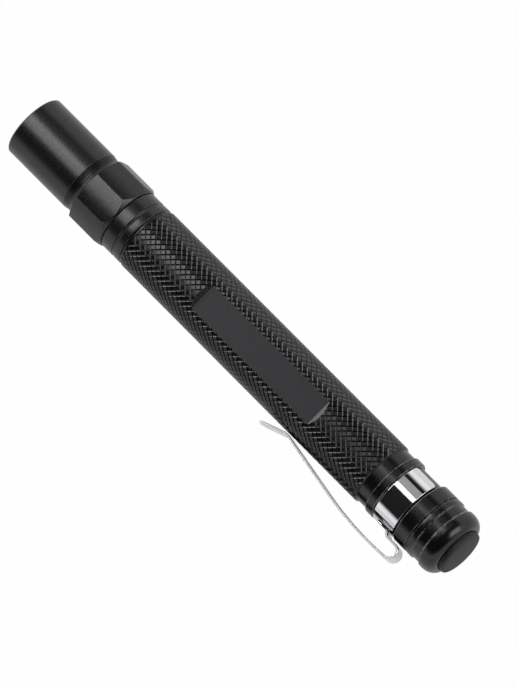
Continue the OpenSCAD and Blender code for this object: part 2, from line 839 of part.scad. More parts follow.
module switch_housing() {
    color("#1e1e20") lay_down() difference() {
        turned([
            [0, housing_front], [housing_r, housing_front], [housing_r, switch_flange_front],
            [engine_r, switch_flange_front], [engine_r, switch_seat], [0, switch_seat]
        ]);
        turned([
            [0, switch_bore_front], [switch_bore_r, switch_bore_front],
            [switch_bore_r, switch_flange_front], [plunger_r + slip_gap, switch_flange_front],
            [plunger_r + slip_gap, switch_seat + overrun], [0, switch_seat + overrun]
        ]);
        terminal_places() translate([0, 0, housing_front - overrun])
            cylinder(d = terminal_d + 2 * pin_gap, h = overrun + terminal_depth + pin_gap);
    }
}

module switch_board() {
    color("#1f6b3a") lay_down() difference() {
        ring(0, housing_r, switch_board_front, housing_front);
        terminal_places() translate([0, 0, switch_board_front - overrun])
            cylinder(d = terminal_d + 2 * pin_gap, h = switch_board_t + 2 * overrun);
    }
}

module switch_terminals() {
    color("#c9a24b") lay_down() terminal_places()
        translate([0, 0, switch_board_front]) cylinder(d = terminal_d, h = switch_board_t + terminal_depth);
}

module switch_retainer() {
    color("#b08d4a") lay_down() difference() {
        ring(housing_r + slip_gap, engine_r, retainer_front, switch_flange_front);
        translate([-retainer_slot_w / 2, -engine_r - overrun, retainer_front - overrun])
            cube([retainer_slot_w, 2 * (engine_r + overrun), overrun + retainer_t / 2]);
    }
}

tail_line = coil_line(
    bay_r * tail_spring_tip_share, bay_r * tail_spring_base_share,
    cells_rear + tail_wire / 2 + face_gap, switch_board_front - tail_wire / 2 - seat_gap, tail_turns
);

module tail_spring() {
    color("#c9a24b") lay_down() coil(tail_line, tail_wire);
}

echo(contact_spring_gap = coil_gap(contact_line, contact_wire));
echo(switch_spring_gap = coil_gap(return_line, return_wire));
echo(tail_spring_gap = coil_gap(tail_line, tail_wire));

head_shell();
lens_seal();
lens();
reflector();
led_gasket();
led_emitter();
led_board();
led_leads();
led_pill();
driver_board();
driver_inductor();
contact_spring();
barrel();
head_oring();
tail_oring();
front_cell();
front_cell_jacket();
rear_cell();
rear_cell_jacket();
pocket_clip();
tail_cap();
push_button();
switch_plunger();
switch_spring();
switch_housing();
switch_board();
switch_terminals();
switch_retainer();
tail_spring();
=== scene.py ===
import logging
import math
from dataclasses import dataclass
from enum import Enum
from typing import Callable, Optional, Sequence

import bmesh
import bpy
from mathutils import Matrix, Vector


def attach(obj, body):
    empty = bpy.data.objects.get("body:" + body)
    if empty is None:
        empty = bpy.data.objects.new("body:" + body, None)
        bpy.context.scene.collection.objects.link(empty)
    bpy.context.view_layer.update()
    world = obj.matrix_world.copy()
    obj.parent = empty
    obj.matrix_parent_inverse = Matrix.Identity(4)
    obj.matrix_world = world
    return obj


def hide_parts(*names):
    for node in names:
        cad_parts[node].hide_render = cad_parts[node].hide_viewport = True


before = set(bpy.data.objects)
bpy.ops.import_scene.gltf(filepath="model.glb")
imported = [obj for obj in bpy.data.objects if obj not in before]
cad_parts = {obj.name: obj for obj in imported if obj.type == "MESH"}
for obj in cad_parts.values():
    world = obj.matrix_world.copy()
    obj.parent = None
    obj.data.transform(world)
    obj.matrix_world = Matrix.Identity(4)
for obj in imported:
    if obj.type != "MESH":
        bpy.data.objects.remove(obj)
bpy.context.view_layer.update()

LOG = logging.getLogger("penlight")
MM = 0.001
# The attribute that says how worn a point is, and so where light edge colours paint highlights. Wear ends this far
# from a corner and fades over this much, both as shares of the corner's rounding.
WEAR_AND_HIGHLIGHT = "edge_wear_and_highlight"
WEAR_AND_HIGHLIGHT_REACH = 0.95
WEAR_AND_HIGHLIGHT_FADE = 0.3
# In mm: points closer than the first are one, and points and faces are told by their place to within the others
MERGE_GAP = 0.0005
PICK_GAP = 0.02
SORT_GAP = 0.05
# Faces round the axis, across a rounded corner and along a quarter round; edges sharper than the last stay sharp
TURN_STEPS = 144
ROUND_STEPS = 3
QUARTER_STEPS = 12
SMOOTH_DEG = 35.0


class Body(Enum):
    """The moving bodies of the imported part."""

    BARREL = "barrel"
    ENGINE = "light_engine"
    HEAD = "head"
    CLIP = "clip"
    SWITCH = "switch_core"
    CAP = "tail_cap"
    BUTTON = "button"


class Solver(Enum):
    """Ways to cut one closed mesh with another."""

    JOIN = "UNION"
    CUT = "DIFFERENCE"
    KEEP = "INTERSECT"


# Modelling by hand


def deselect_all() -> None:
    """Leaves edit mode and lets go of everything."""
    if bpy.context.object is not None and bpy.context.object.mode != "OBJECT":
        bpy.ops.object.mode_set(mode="OBJECT")
    bpy.ops.object.select_all(action="DESELECT")


def take_up(obj: bpy.types.Object) -> None:
    """Makes one object the only one selected and the active one.

    Args:
        obj: the object to work on.
    """
    deselect_all()
    obj.select_set(True)
    bpy.context.view_layer.objects.active = obj


def open_mesh(obj: bpy.types.Object) -> None:
    """Opens a mesh for editing, by its points.

    Args:
        obj: the object to edit.
    """
    take_up(obj)
    bpy.ops.object.mode_set(mode="EDIT")
    bpy.ops.mesh.select_mode(type="VERT")


def pick_points(obj: bpy.types.Object, wanted: Callable[[Vector], bool]) -> int:
    """Selects the points of an open mesh by their place.

    Args:
        obj: the object being edited.
        wanted: tells whether a point is to be selected.

    Returns:
        How many points were selected.
    """
    bpy.ops.mesh.select_all(action="DESELECT")
    mesh = bmesh.from_edit_mesh(obj.data)
    found = [vert for vert in mesh.verts if wanted(vert.co)]
    for vert in found:
        vert.select_set(True)
    mesh.select_flush(True)
    bmesh.update_edit_mesh(obj.data)
    return len(found)


def draw_line(name: str, points: Sequence[Vector]) -> bpy.types.Object:
    """Draws an outline: a small plane is merged to one point, which is extruded from place to place.

    Args:
        name: name of the new object.
        points: places along the line, in mm.

    Returns:
        The object, open for editing.
    """
    deselect_all()
    bpy.ops.mesh.primitive_plane_add(size=1.0, location=(0.0, 0.0, 0.0))
    obj = bpy.context.object
    obj.name = name
    obj.data.name = name
    open_mesh(obj)
    bpy.ops.mesh.select_all(action="SELECT")
    bpy.ops.mesh.merge(type="CENTER")
    bpy.ops.mesh.select_all(action="SELECT")
    bpy.ops.transform.translate(value=points[0])
    for start, end in zip(points, points[1:]):
        bpy.ops.mesh.extrude_region_move(TRANSFORM_OT_translate={"value": end - start})
    return obj


def add_block(name: str, size: Sequence[float], middle: Sequence[float]) -> bpy.types.Object:
    """Adds a cube, and stretches and moves it to its size and place.

    Args:
        name: name of the new object.
        size: its three sides, in mm.
        middle: the place of its middle, in mm.

    Returns:
        The object, open for editing.
    """
    deselect_all()
    bpy.ops.mesh.primitive_cube_add(size=1.0, location=(0.0, 0.0, 0.0))
    obj = bpy.context.object
    obj.name = name
    open_mesh(obj)
    bpy.ops.mesh.select_all(action="SELECT")
    bpy.ops.transform.resize(value=size, center_override=(0.0, 0.0, 0.0))
    bpy.ops.transform.translate(value=middle)
    return obj


def merge_points(gap: float = MERGE_GAP) -> None:
    """Merges doubled points of the open mesh.

    Args:
        gap: points closer than this are merged, in mm.
    """
    bpy.ops.mesh.select_all(action="SELECT")
    bpy.ops.mesh.remove_doubles(threshold=gap)


def tidy_mesh(gap: float = MERGE_GAP) -> None:
    """Merges doubled points of the open mesh and turns its faces outwards.

    Args:
        gap: points closer than this are merged, in mm.
    """
    merge_points(gap)
    bpy.ops.mesh.select_all(action="SELECT")
    bpy.ops.mesh.normals_make_consistent(inside=False)


@dataclass(frozen=True)
class Corner:
    """One corner of a turned outline.

    station and radius place it, and ease is how far it is rounded, all in mm.
    """

    station: float
    radius: float
    ease: float = 0.0

    def place(self) -> Vector:
        """The corner in the plane that is spun."""
        return Vector((-self.station, 0.0, self.radius))


def turn_piece(name: str, corners: Sequence[Corner], closed: bool = True) -> bpy.types.Object:
    """Turns an outline about the light's axis, with its corners rounded first.

    Args:
        name: name of the piece.
        corners: the outline, in order.
        closed: whether the outline runs back to its first corner.

    Returns:
        The turned object, in mm, in object mode.
    """
    places = [corner.place() for corner in corners]
    obj = draw_line(name, places + places[:1] if closed else places)
    merge_points()
    for ease in sorted({corner.ease for corner in corners if corner.ease > 0.0}):
        rounded = [corner.place() for corner in corners if corner.ease == ease]
        pick_points(obj, lambda co: any((co - place).length < 2.0 * MERGE_GAP for place in rounded))
        bpy.ops.mesh.bevel(offset_type="OFFSET", offset=ease, segments=ROUND_STEPS, affect="VERTICES")
    bpy.ops.mesh.select_all(action="SELECT")
    bpy.ops.mesh.spin(steps=TURN_STEPS, angle=2.0 * math.pi, center=(0.0, 0.0, 0.0), axis=(1.0, 0.0, 0.0))
    tidy_mesh()
    bpy.ops.object.mode_set(mode="OBJECT")
    return obj


def cut_piece(obj: bpy.types.Object, tool: bpy.types.Object, way: Solver) -> None:
    """Joins, cuts or crosses one closed mesh with another, which is used up.

    Args:
        obj: the piece that is kept.
        tool: the piece that is used up.
        way: what is done with the two.
    """
    take_up(obj)
    cut = obj.modifiers.new("cut", "BOOLEAN")
    cut.operation = way.value
    cut.object = tool
    cut.solver = "MANIFOLD"
    bpy.ops.object.modifier_apply(modifier=cut.name)
    bpy.data.objects.remove(tool)


def soften(obj: bpy.types.Object, width: float, limit_deg: float, segments: int) -> None:
    """Rounds the sharp edges of a piece a little.

    Args:
        obj: the piece.
        width: width of the rounding, in the piece's own unit.
        limit_deg: edges sharper than this are rounded.
        segments: faces across each rounding.
    """
    take_up(obj)
    bevel = obj.modifiers.new("soften", "BEVEL")
    bevel.width = width
    bevel.segments = segments
    bevel.limit_method = "ANGLE"
    bevel.angle_limit = math.radians(limit_deg)
    bevel.use_clamp_overlap = True
    bpy.ops.object.modifier_apply(modifier=bevel.name)


def finish_piece(obj: bpy.types.Object, flat_corners: int = 0) -> bpy.types.Object:
    """Brings a piece from millimetres to metres and smooths it where it is round.

    Args:
        obj: the piece.
        flat_corners: faces with more corners than this are shaded flat, where it is given.

    Returns:
        The same piece.
    """
    take_up(obj)
    obj.scale = (MM, MM, MM)
    bpy.ops.object.transform_apply(location=True, rotation=True, scale=True)
    bpy.ops.object.shade_smooth_by_angle(angle=math.radians(SMOOTH_DEG))
    # a face with many corners is split in its own way each run, so it gets one normal all over
    for face in obj.data.polygons:
        if 0 < flat_corners < len(face.vertices):
            face.use_smooth = False
    weigh = obj.modifiers.new("weigh", "WEIGHTED_NORMAL")
    weigh.keep_sharp = True
    bpy.ops.object.modifier_apply(modifier=weigh.name)
    # cutting leaves an empty material slot behind
    obj.data.materials.clear()
    deselect_all()
    return obj


def mark_wear_and_highlight(obj: bpy.types.Object, corners: Sequence[Corner],
              extra: Optional[Callable[[Vector], float]] = None) -> None:
    """Marks the rounded edges of a turned piece, where its finish wears and light edge colours paint highlights.

    Args:
        obj: the finished piece, in metres.
        corners: the corners that it was turned from.
        extra: wear at a place in mm, for edges that aren't turned.
    """
    eased = [corner for corner in corners if corner.ease > 0.0]
    worn_and_highlight: list[float] = []
    for vert in obj.data.vertices:
        place = vert.co / MM
        radius = math.hypot(place.y, place.z)
        most = extra(place) if extra is not None else 0.0
        for corner in eased:
            away = math.hypot(-place.x - corner.station, radius - corner.radius) / corner.ease
            most = max(most, min(1.0, max(0.0, (WEAR_AND_HIGHLIGHT_REACH - away) / WEAR_AND_HIGHLIGHT_FADE)))
        worn_and_highlight.append(most)
    # wear and its painted highlight are kept off flat faces, over which they would spread from their corners
    layer = obj.data.attributes.new(WEAR_AND_HIGHLIGHT, "FLOAT", "CORNER")
    layer.data.foreach_set("value", [
        worn_and_highlight[obj.data.loops[k].vertex_index] if face.use_smooth else 0.0
        for face in obj.data.polygons for k in face.loop_indices
    ])


def quarter_round(wide: float, narrow: float, front: float, rear: float) -> list[Corner]:
    """Quarter of an ellipse from a wide radius to a narrow one.

    Args:
        wide: radius at the front.
        narrow: radius at the rear.
        front: station at the front.
        rear: station at the rear.

    Returns:
        The corners along it.
    """
    turns = [math.pi / 2.0 * k / QUARTER_STEPS for k in range(QUARTER_STEPS + 1)]
    return [
        Corner(front + (rear - front) * math.sin(turn), narrow + (wide - narrow) * math.cos(turn))
        for turn in turns
    ]


# Finishes


def linear(hex_colour: str) -> tuple[float, float, float, float]:
    """Turns an sRGB hex colour to linear light.

    Args:
        hex_colour: such as "#262728".

    Returns:
        Red, green, blue and 1.
    """
    parts = [int(hex_colour[k:k + 2], 16) / 255.0 for k in (1, 3, 5)]
    light = [c / 12.92 if c <= 0.04045 else ((c + 0.055) / 1.055) ** 2.4 for c in parts]
    return (light[0], light[1], light[2], 1.0)


def add_node(tree: bpy.types.NodeTree, kind: str, settings: Optional[dict] = None,
             inputs: Optional[dict] = None) -> bpy.types.Node:
    """Adds one node with its settings and links.

    Args:
        tree: the node tree.
        kind: the node's type name.
        settings: its properties.
        inputs: values or sockets for its inputs, by name or number.

    Returns:
        The new node.
    """
    node = tree.nodes.new(kind)
    for name, value in (settings or {}).items():
        setattr(node, name, value)
    for name, value in (inputs or {}).items():
        if isinstance(value, bpy.types.NodeSocket):
            tree.links.new(value, node.inputs[name])
        else:
            node.inputs[name].default_value = value
    return node


@dataclass(frozen=True)
class Finish:
    """A made surface: two close tones in soft patches, a range of roughness, grain and worn edges.

    Lengths are in mm. turned is the spacing of lathe marks, and worn_and_highlight the colour of bare edges, which
    show in patches of the size of rub; both may be left out. Where that colour is much lighter than the oxide, it
    is partly a painted highlight along the edges. crown is how far the polishing has rounded milled flats, as a
    share of a full round.
    """

    name: str
    tone: str
    shade: str
    metallic: float = 0.0
    ior: float = 1.5
    roughness: tuple[float, float] = (0.4, 0.5)
    patch: float = 4.0
    grain: float = 0.3
    grain_depth: float = 0.004
    turned: float = 0.0
    turned_depth: float = 0.0
    worn_and_highlight: str = ""
    rub: float = 1.2
    transmission: float = 0.0
    coat: float = 0.0
    crown: float = 0.0

    def material(self) -> bpy.types.Material:
        """Builds the material, or finds it where it was built before.

        Returns:
            The material.
        """
        known = bpy.data.materials.get(self.name)
        if known is not None:
            return known
        made = bpy.data.materials.new(self.name)
        made.use_nodes = True
        tree = made.node_tree
        tree.nodes.clear()
        spot = add_node(tree, "ShaderNodeTexCoord").outputs["Object"]
        patches = add_node(tree, "ShaderNodeTexNoise", inputs={
            "Vector": spot, "Scale": 1.0 / (self.patch * MM), "Detail": 4.0, "Roughness": 0.6})
        grains = add_node(tree, "ShaderNodeTexNoise", inputs={
            "Vector": spot, "Scale": 1.0 / (self.grain * MM), "Detail": 2.0, "Roughness": 0.5})
        blend = add_node(tree, "ShaderNodeMapRange", inputs={
            "Value": patches.outputs["Fac"], "From Min": 0.35, "From Max": 0.65})
        colour = add_node(tree, "ShaderNodeMix", {"data_type": "RGBA"}, {
            "Factor": blend.outputs["Result"], 6: linear(self.shade), 7: linear(self.tone)}).outputs[2]
        rough = add_node(tree, "ShaderNodeMapRange", inputs={
            "Value": grains.outputs["Fac"], "From Min": 0.3, "From Max": 0.7,
            "To Min": self.roughness[0], "To Max": self.roughness[1]}).outputs["Result"]
        bump = add_node(tree, "ShaderNodeBump", inputs={
            "Height": grains.outputs["Fac"], "Distance": self.grain_depth * MM, "Strength": 1.0})
        if self.crown > 0.0:
            tree.links.new(self.crowned(tree), bump.inputs["Normal"])
        normal = bump.outputs["Normal"]
        colour, rough, normal = self.extras(tree, spot, colour, rough, normal)
        surface = add_node(tree, "ShaderNodeBsdfPrincipled", inputs={
            "Base Color": colour, "Roughness": rough, "Normal": normal, "Metallic": self.metallic,
            "IOR": self.ior, "Transmission Weight": self.transmission, "Coat Weight": self.coat})
        add_node(tree, "ShaderNodeOutputMaterial", inputs={"Surface": surface.outputs["BSDF"]})
        return made

    def extras(self, tree: bpy.types.NodeTree, spot: bpy.types.NodeSocket, colour: bpy.types.NodeSocket,
               rough: bpy.types.NodeSocket, normal: bpy.types.NodeSocket) -> tuple[bpy.types.NodeSocket, ...]:
        """Adds lathe marks and worn edges, which are partly painted highlight where their colour is light.

        Args:
            tree: the node tree.
            spot: object coordinates.
            colour: base colour so far.
            rough: roughness so far.
            normal: bumped normal so far.

        Returns:
            The new colour, roughness and normal.
        """
        if self.turned > 0.0:
            axes = add_node(tree, "ShaderNodeSeparateXYZ", inputs={0: spot})
            radius = self.radius(tree, axes)
            run = add_node(tree, "ShaderNodeMath", {"operation": "ADD"}, {0: axes.outputs[0], 1: radius})
            marks = add_node(tree, "ShaderNodeTexNoise", {"noise_dimensions": "1D"}, {
                "W": run.outputs[0], "Scale": 1.0 / (self.turned * MM), "Detail": 3.0, "Roughness": 0.6})
            normal = add_node(tree, "ShaderNodeBump", inputs={
                "Height": marks.outputs["Fac"], "Distance": self.turned_depth * MM, "Strength": 1.0,
                "Normal": normal}).outputs["Normal"]
            streak = add_node(tree, "ShaderNodeMapRange", inputs={
                "Value": marks.outputs["Fac"], "From Min": 0.3, "From Max": 0.7,
                "To Min": -0.05, "To Max": 0.05})
            rough = add_node(tree, "ShaderNodeMath", {"operation": "ADD"}, {
                0: rough, 1: streak.outputs["Result"]}).outputs[0]
        if self.worn_and_highlight:
            # bare edges: wear, and a painted highlight where the edge colour is light
            edge = add_node(tree, "ShaderNodeAttribute", {"attribute_name": WEAR_AND_HIGHLIGHT})
            rubs = add_node(tree, "ShaderNodeTexNoise", inputs={
                "Vector": spot, "Scale": 1.0 / (self.rub * MM), "Detail": 3.0, "Roughness": 0.7})
            share = add_node(tree, "ShaderNodeMapRange", inputs={
                "Value": rubs.outputs["Fac"], "From Min": 0.4, "From Max": 0.65})
            bare = add_node(tree, "ShaderNodeMath", {"operation": "MULTIPLY"}, {
                0: edge.outputs["Fac"], 1: share.outputs["Result"]}).outputs[0]
            colour = add_node(tree, "ShaderNodeMix", {"data_type": "RGBA"}, {
                "Factor": bare, 6: colour, 7: linear(self.worn_and_highlight)}).outputs[2]
        return colour, rough, normal

    def crowned(self, tree: bpy.types.NodeTree) -> bpy.types.NodeSocket:
        """Leans the normals of milled flats a little towards the round that they were milled from.

        Args:
            tree: the node tree.

        Returns:
            The leaning normal.
        """
        place = add_node(tree, "ShaderNodeTexCoord")
        round_way = add_node(tree, "ShaderNodeVectorMath", {"operation": "MULTIPLY"}, {
            0: place.outputs["Object"], 1: (0.0, 1.0, 1.0)})
        round_way = add_node(tree, "ShaderNodeVectorMath", {"operation": "NORMALIZE"}, {
            0: round_way.outputs[0]})
        # faces that look along the axis aren't crowned
        axes = add_node(tree, "ShaderNodeSeparateXYZ", inputs={0: place.outputs["Normal"]})
        square = add_node(tree, "ShaderNodeMath", {"operation": "MULTIPLY"}, {
            0: axes.outputs[0], 1: axes.outputs[0]})
        share = add_node(tree, "ShaderNodeMapRange", inputs={
            "Value": square.outputs[0], "From Min": 0.0, "From Max": 0.02,
            "To Min": self.crown, "To Max": 0.0})
        lean = add_node(tree, "ShaderNodeMix", {"data_type": "VECTOR"}, {
            0: share.outputs["Result"], 4: place.outputs["Normal"], 5: round_way.outputs[0]})
        return add_node(
            tree, "ShaderNodeVectorTransform",
            {"vector_type": "NORMAL", "convert_from": "OBJECT", "convert_to": "WORLD"},
            {0: lean.outputs[1]}).outputs[0]

    @staticmethod
    def radius(tree: bpy.types.NodeTree, axes: bpy.types.Node) -> bpy.types.NodeSocket:
        """Distance from the light's axis.

        Args:
            tree: the node tree.
            axes: a Separate XYZ node of object coordinates.

        Returns:
            The socket with the distance in metres.
        """
        flat = add_node(tree, "ShaderNodeCombineXYZ", inputs={1: axes.outputs[1], 2: axes.outputs[2]})
        length = add_node(tree, "ShaderNodeVectorMath", {"operation": "LENGTH"}, {0: flat.outputs[0]})
        return length.outputs["Value"]


@dataclass(frozen=True)
class KnurlFinish(Finish):
    """Black anodising over a cut knurl, darker as painted shade: the flat tops of the diamonds are rubbed.

    crest is the radius of those tops. The rubbing begins rub_start under it and is full at rub_full, all in mm.
    """

    crest: float = 7.5
    rub: float = 1.8
    rub_start: float = 0.06
    rub_full: float = 0.01
    rubbed: str = "#24211f"

    def extras(self, tree: bpy.types.NodeTree, spot: bpy.types.NodeSocket, colour: bpy.types.NodeSocket,
               rough: bpy.types.NodeSocket, normal: bpy.types.NodeSocket) -> tuple[bpy.types.NodeSocket, ...]:
        """Rubs the tops of the diamonds, in patches.

        Args:
            tree: the node tree.
            spot: object coordinates.
            colour: base colour so far.
            rough: roughness so far.
            normal: bumped normal so far.

        Returns:
            The new colour, roughness and normal.
        """
        axes = add_node(tree, "ShaderNodeSeparateXYZ", inputs={0: spot})
        top = add_node(tree, "ShaderNodeMapRange", inputs={
            "Value": self.radius(tree, axes), "From Min": (self.crest - self.rub_start) * MM,
            "From Max": (self.crest - self.rub_full) * MM})
        rubs = add_node(tree, "ShaderNodeTexNoise", inputs={
            "Vector": spot, "Scale": 1.0 / (self.rub * MM), "Detail": 4.0, "Roughness": 0.75})
        share = add_node(tree, "ShaderNodeMapRange", inputs={
            "Value": rubs.outputs["Fac"], "From Min": 0.38, "From Max": 0.7})
        bare = add_node(tree, "ShaderNodeMath", {"operation": "MULTIPLY"}, {
            0: top.outputs["Result"], 1: share.outputs["Result"]}).outputs[0]
        colour = add_node(tree, "ShaderNodeMix", {"data_type": "RGBA"}, {
            "Factor": bare, 6: colour, 7: linear(self.rubbed)}).outputs[2]
        return colour, rough, normal


# Dyed oxide on turned aluminium: a dark satin skin that mirrors pale surroundings softly. Feed marks and grain are
# too fine to show in the render, so both are drawn a few times coarser.
ANODISED = Finish(
    "anodised_aluminium_black", "#121314", "#0f0f10", roughness=(0.27, 0.34), patch=5.0, grain=0.35,
    grain_depth=0.0003, turned=0.22, turned_depth=0.0004, worn_and_highlight="#4a4b4c", crown=0.5)
# The same oxide on the cap and the rings behind the grip, over a finer cut: glossier. Its tone is darker than the
# oxide elsewhere, as painted shade over the tail end, and its light bare edges are partly painted highlight lines.
POLISHED_PAINTED_SHADE = Finish(
    "anodised_aluminium_fine_painted_shade", "#0d0e0e", "#0a0a0b", ior=1.48, roughness=(0.2, 0.26), patch=5.0, grain=0.35,
    grain_depth=0.0003, turned=0.22, turned_depth=0.0003, worn_and_highlight="#a6a7a8", crown=0.5)
# The same oxide in the neck behind the front tube, darker and a weaker mirror than elsewhere: painted shade there
NECK_PAINTED_SHADE = Finish(
    "anodised_aluminium_neck_painted_shade", "#0b0b0c", "#080809", ior=1.36, roughness=(0.3, 0.38), patch=5.0, grain=0.35,
    grain_depth=0.0003, turned=0.22, turned_depth=0.0004)
# The same oxide on a milled flat: an even dull grey
PLATE = Finish(
    "anodised_aluminium_milled", "#252629", "#222326", ior=1.4, roughness=(0.46, 0.54), patch=6.0, grain=0.25,
    grain_depth=0.001)
# The same oxide on the ramps of that flat, where the cutter ran out: a darker tone under a stronger mirror than
# the oxide has, as a painted highlight on the ramps
RAMP = Finish(
    "anodised_aluminium_ramp_painted_highlight", "#070707", "#050505", ior=2.4, roughness=(0.2, 0.27), patch=2.0, grain=0.25,
    grain_depth=0.0006)
# The same oxide over the cut diamonds, its tone darker than the smooth oxide as painted shade: bright lines along
# their flanks and black between them
KNURL = KnurlFinish(
    "anodised_aluminium_knurled", "#0a0909", "#060606", ior=1.43, roughness=(0.17, 0.24), patch=3.0, grain=0.3,
    grain_depth=0.0008)
# Bright nickel and chromium on spring steel: a clear mirror with faint hairlines
CHROME = Finish(
    "chromium_plated_steel", "#e6e7e8", "#dcdddf", metallic=1.0, roughness=(0.03, 0.07), patch=6.0, grain=0.5,
    grain_depth=0.0002)
# The same plating on the sheared edges of the strip, where the steel under it is rough: a frosted white
SHEARED = Finish(
    "chromium_plated_steel_sheared", "#f8f8f8", "#f2f2f3", metallic=1.0, roughness=(0.85, 0.95), patch=3.0,
    grain=0.3, grain_depth=0.0001)
# Moulded silicone rubber: dull, a little dusty
BUTTON = Finish(
    "silicone_rubber_moulded", "#252727", "#202222", roughness=(0.55, 0.68), patch=3.0, grain=0.25,
    grain_depth=0.006)
# Nitrile rubber cord: greased, so a soft gloss
NITRILE = Finish(
    "nitrile_rubber_cord", "#171717", "#101010", roughness=(0.3, 0.45), patch=2.0, grain=0.3, grain_depth=0.004)
# Float glass with polished faces: clear, with sharp reflections
GLASS = Finish(
    "float_glass_polished", "#f6fafb", "#eef6f8", ior=1.52, roughness=(0.0, 0.02), patch=8.0, grain=2.0,
    grain_depth=0.0002, transmission=1.0)
# Aluminium vapour on a lacquered bowl: a mirror with a faint orange peel
MIRROR = Finish(
    "vapour_coated_aluminium", "#eceeef", "#e3e5e7", metallic=1.0, roughness=(0.05, 0.1), patch=3.0, grain=0.5,
    grain_depth=0.004)
# Moulded white nylon: waxy, without gloss
NYLON = Finish(
    "nylon_moulded_white", "#e8e8e2", "#dcdcd5", roughness=(0.4, 0.5), patch=2.0, grain=0.2, grain_depth=0.004)
# Silicone over yellow phosphor: a wet yellow
PHOSPHOR = Finish(
    "phosphor_silicone", "#f0d94a", "#e6c92f", roughness=(0.1, 0.2), patch=0.6, grain=0.2, grain_depth=0.003,
    coat=0.6)
# Solder masks: a hard glossy lacquer over copper and glass cloth
MASK_WHITE = Finish(
    "solder_mask_white", "#efefeb", "#e2e2dd", roughness=(0.25, 0.35), patch=1.5, grain=0.25, grain_depth=0.004)
MASK_GREEN = Finish(
    "solder_mask_green", "#1f6b3a", "#17552d", roughness=(0.22, 0.34), patch=1.0, grain=0.25, grain_depth=0.005)
# Polyvinyl insulation: smooth, with a soft sheen
INSULATION = Finish(
    "pvc_insulation_red", "#b03a2e", "#9a2f25", roughness=(0.35, 0.45), patch=0.8, grain=0.2, grain_depth=0.003)
# Turned brass, slightly tarnished: a warm satin with feed marks
BRASS = Finish(
    "brass_turned", "#c2a05a", "#a8863f", metallic=1.0, roughness=(0.24, 0.36), patch=2.5, grain=0.3,
    grain_depth=0.003, turned=0.3, turned_depth=0.002)
# Drawn spring wire with a thin gold flash: bright and smooth
GOLD_WIRE = Finish(
    "spring_wire_gold_flashed", "#d9b362", "#c49a45", metallic=1.0, roughness=(0.16, 0.26), patch=1.0, grain=0.2,
    grain_depth=0.002)
# Drawn spring wire, bare: a grey gloss
STEEL_WIRE = Finish(
    "spring_wire_bare", "#b9bcbf", "#a3a6a9", metallic=1.0, roughness=(0.18, 0.3), patch=1.0, grain=0.2,
    grain_depth=0.002)
# Pressed ferrite powder: dark and chalky
FERRITE = Finish(
    "ferrite_pressed", "#3a3a3b", "#2c2c2d", roughness=(0.6, 0.75), patch=0.8, grain=0.15, grain_depth=0.01)
# Nickel on a deep-drawn steel can: a soft silver
NICKEL = Finish(
    "nickel_plated_steel_can", "#b9bcbf", "#a9acb0", metallic=1.0, roughness=(0.22, 0.34), patch=4.0, grain=0.4,
    grain_depth=0.002)
# Shrink film without print: a thin glossy skin
JACKET = Finish(
    "shrink_film_plain", "#8a6d3b", "#7c6030", roughness=(0.2, 0.3), patch=5.0, grain=0.6, grain_depth=0.004,
    coat=0.3)
# Moulded glass-filled nylon: black with a fine dull grain
BLACK_NYLON = Finish(
    "nylon_moulded_black", "#1e1e20", "#161618", roughness=(0.42, 0.55), patch=1.5, grain=0.2, grain_depth=0.005)


# Sub-assemblies


def stand_in(piece: bpy.types.Object, body: Body, node: str, finish: Finish) -> bpy.types.Object:
    """Puts a new piece in a node's place, on its body.

    Args:
        piece: the finished piece.
        body: the body that it rides on.
        node: the node that it stands for.
        finish: its finish.

    Returns:
        The same piece.
    """
    if not piece.data.materials:
        piece.data.materials.append(finish.material())
    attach(piece, body.value)
    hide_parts(node)
    LOG.info("%s: %d faces on %s", piece.name, len(piece.data.polygons), body.value)
    return piece


def dress_nodes(finishes: dict[str, Finish]) -> None:
    """Gives carried-over nodes their finishes.

    Args:
        finishes: the finish of each node, by the node's name.
    """
    for node, finish in finishes.items():
        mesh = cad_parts[node].data
        mesh.materials.clear()
        mesh.materials.append(finish.material())
        LOG.info("%s: dressed as %s", node, finish.name)


def lay_finishes(piece: bpy.types.Object, finishes: Sequence[Finish]) -> dict[Finish, int]:
    """Gives a piece several finishes, with the first one all over.

    Args:
        piece: the finished piece.
        finishes: its finishes, in order.

    Returns:
        The material slot of each finish.
    """
    for finish in finishes:
        piece.data.materials.append(finish.material())
    return {finish: slot for slot, finish in enumerate(finishes)}


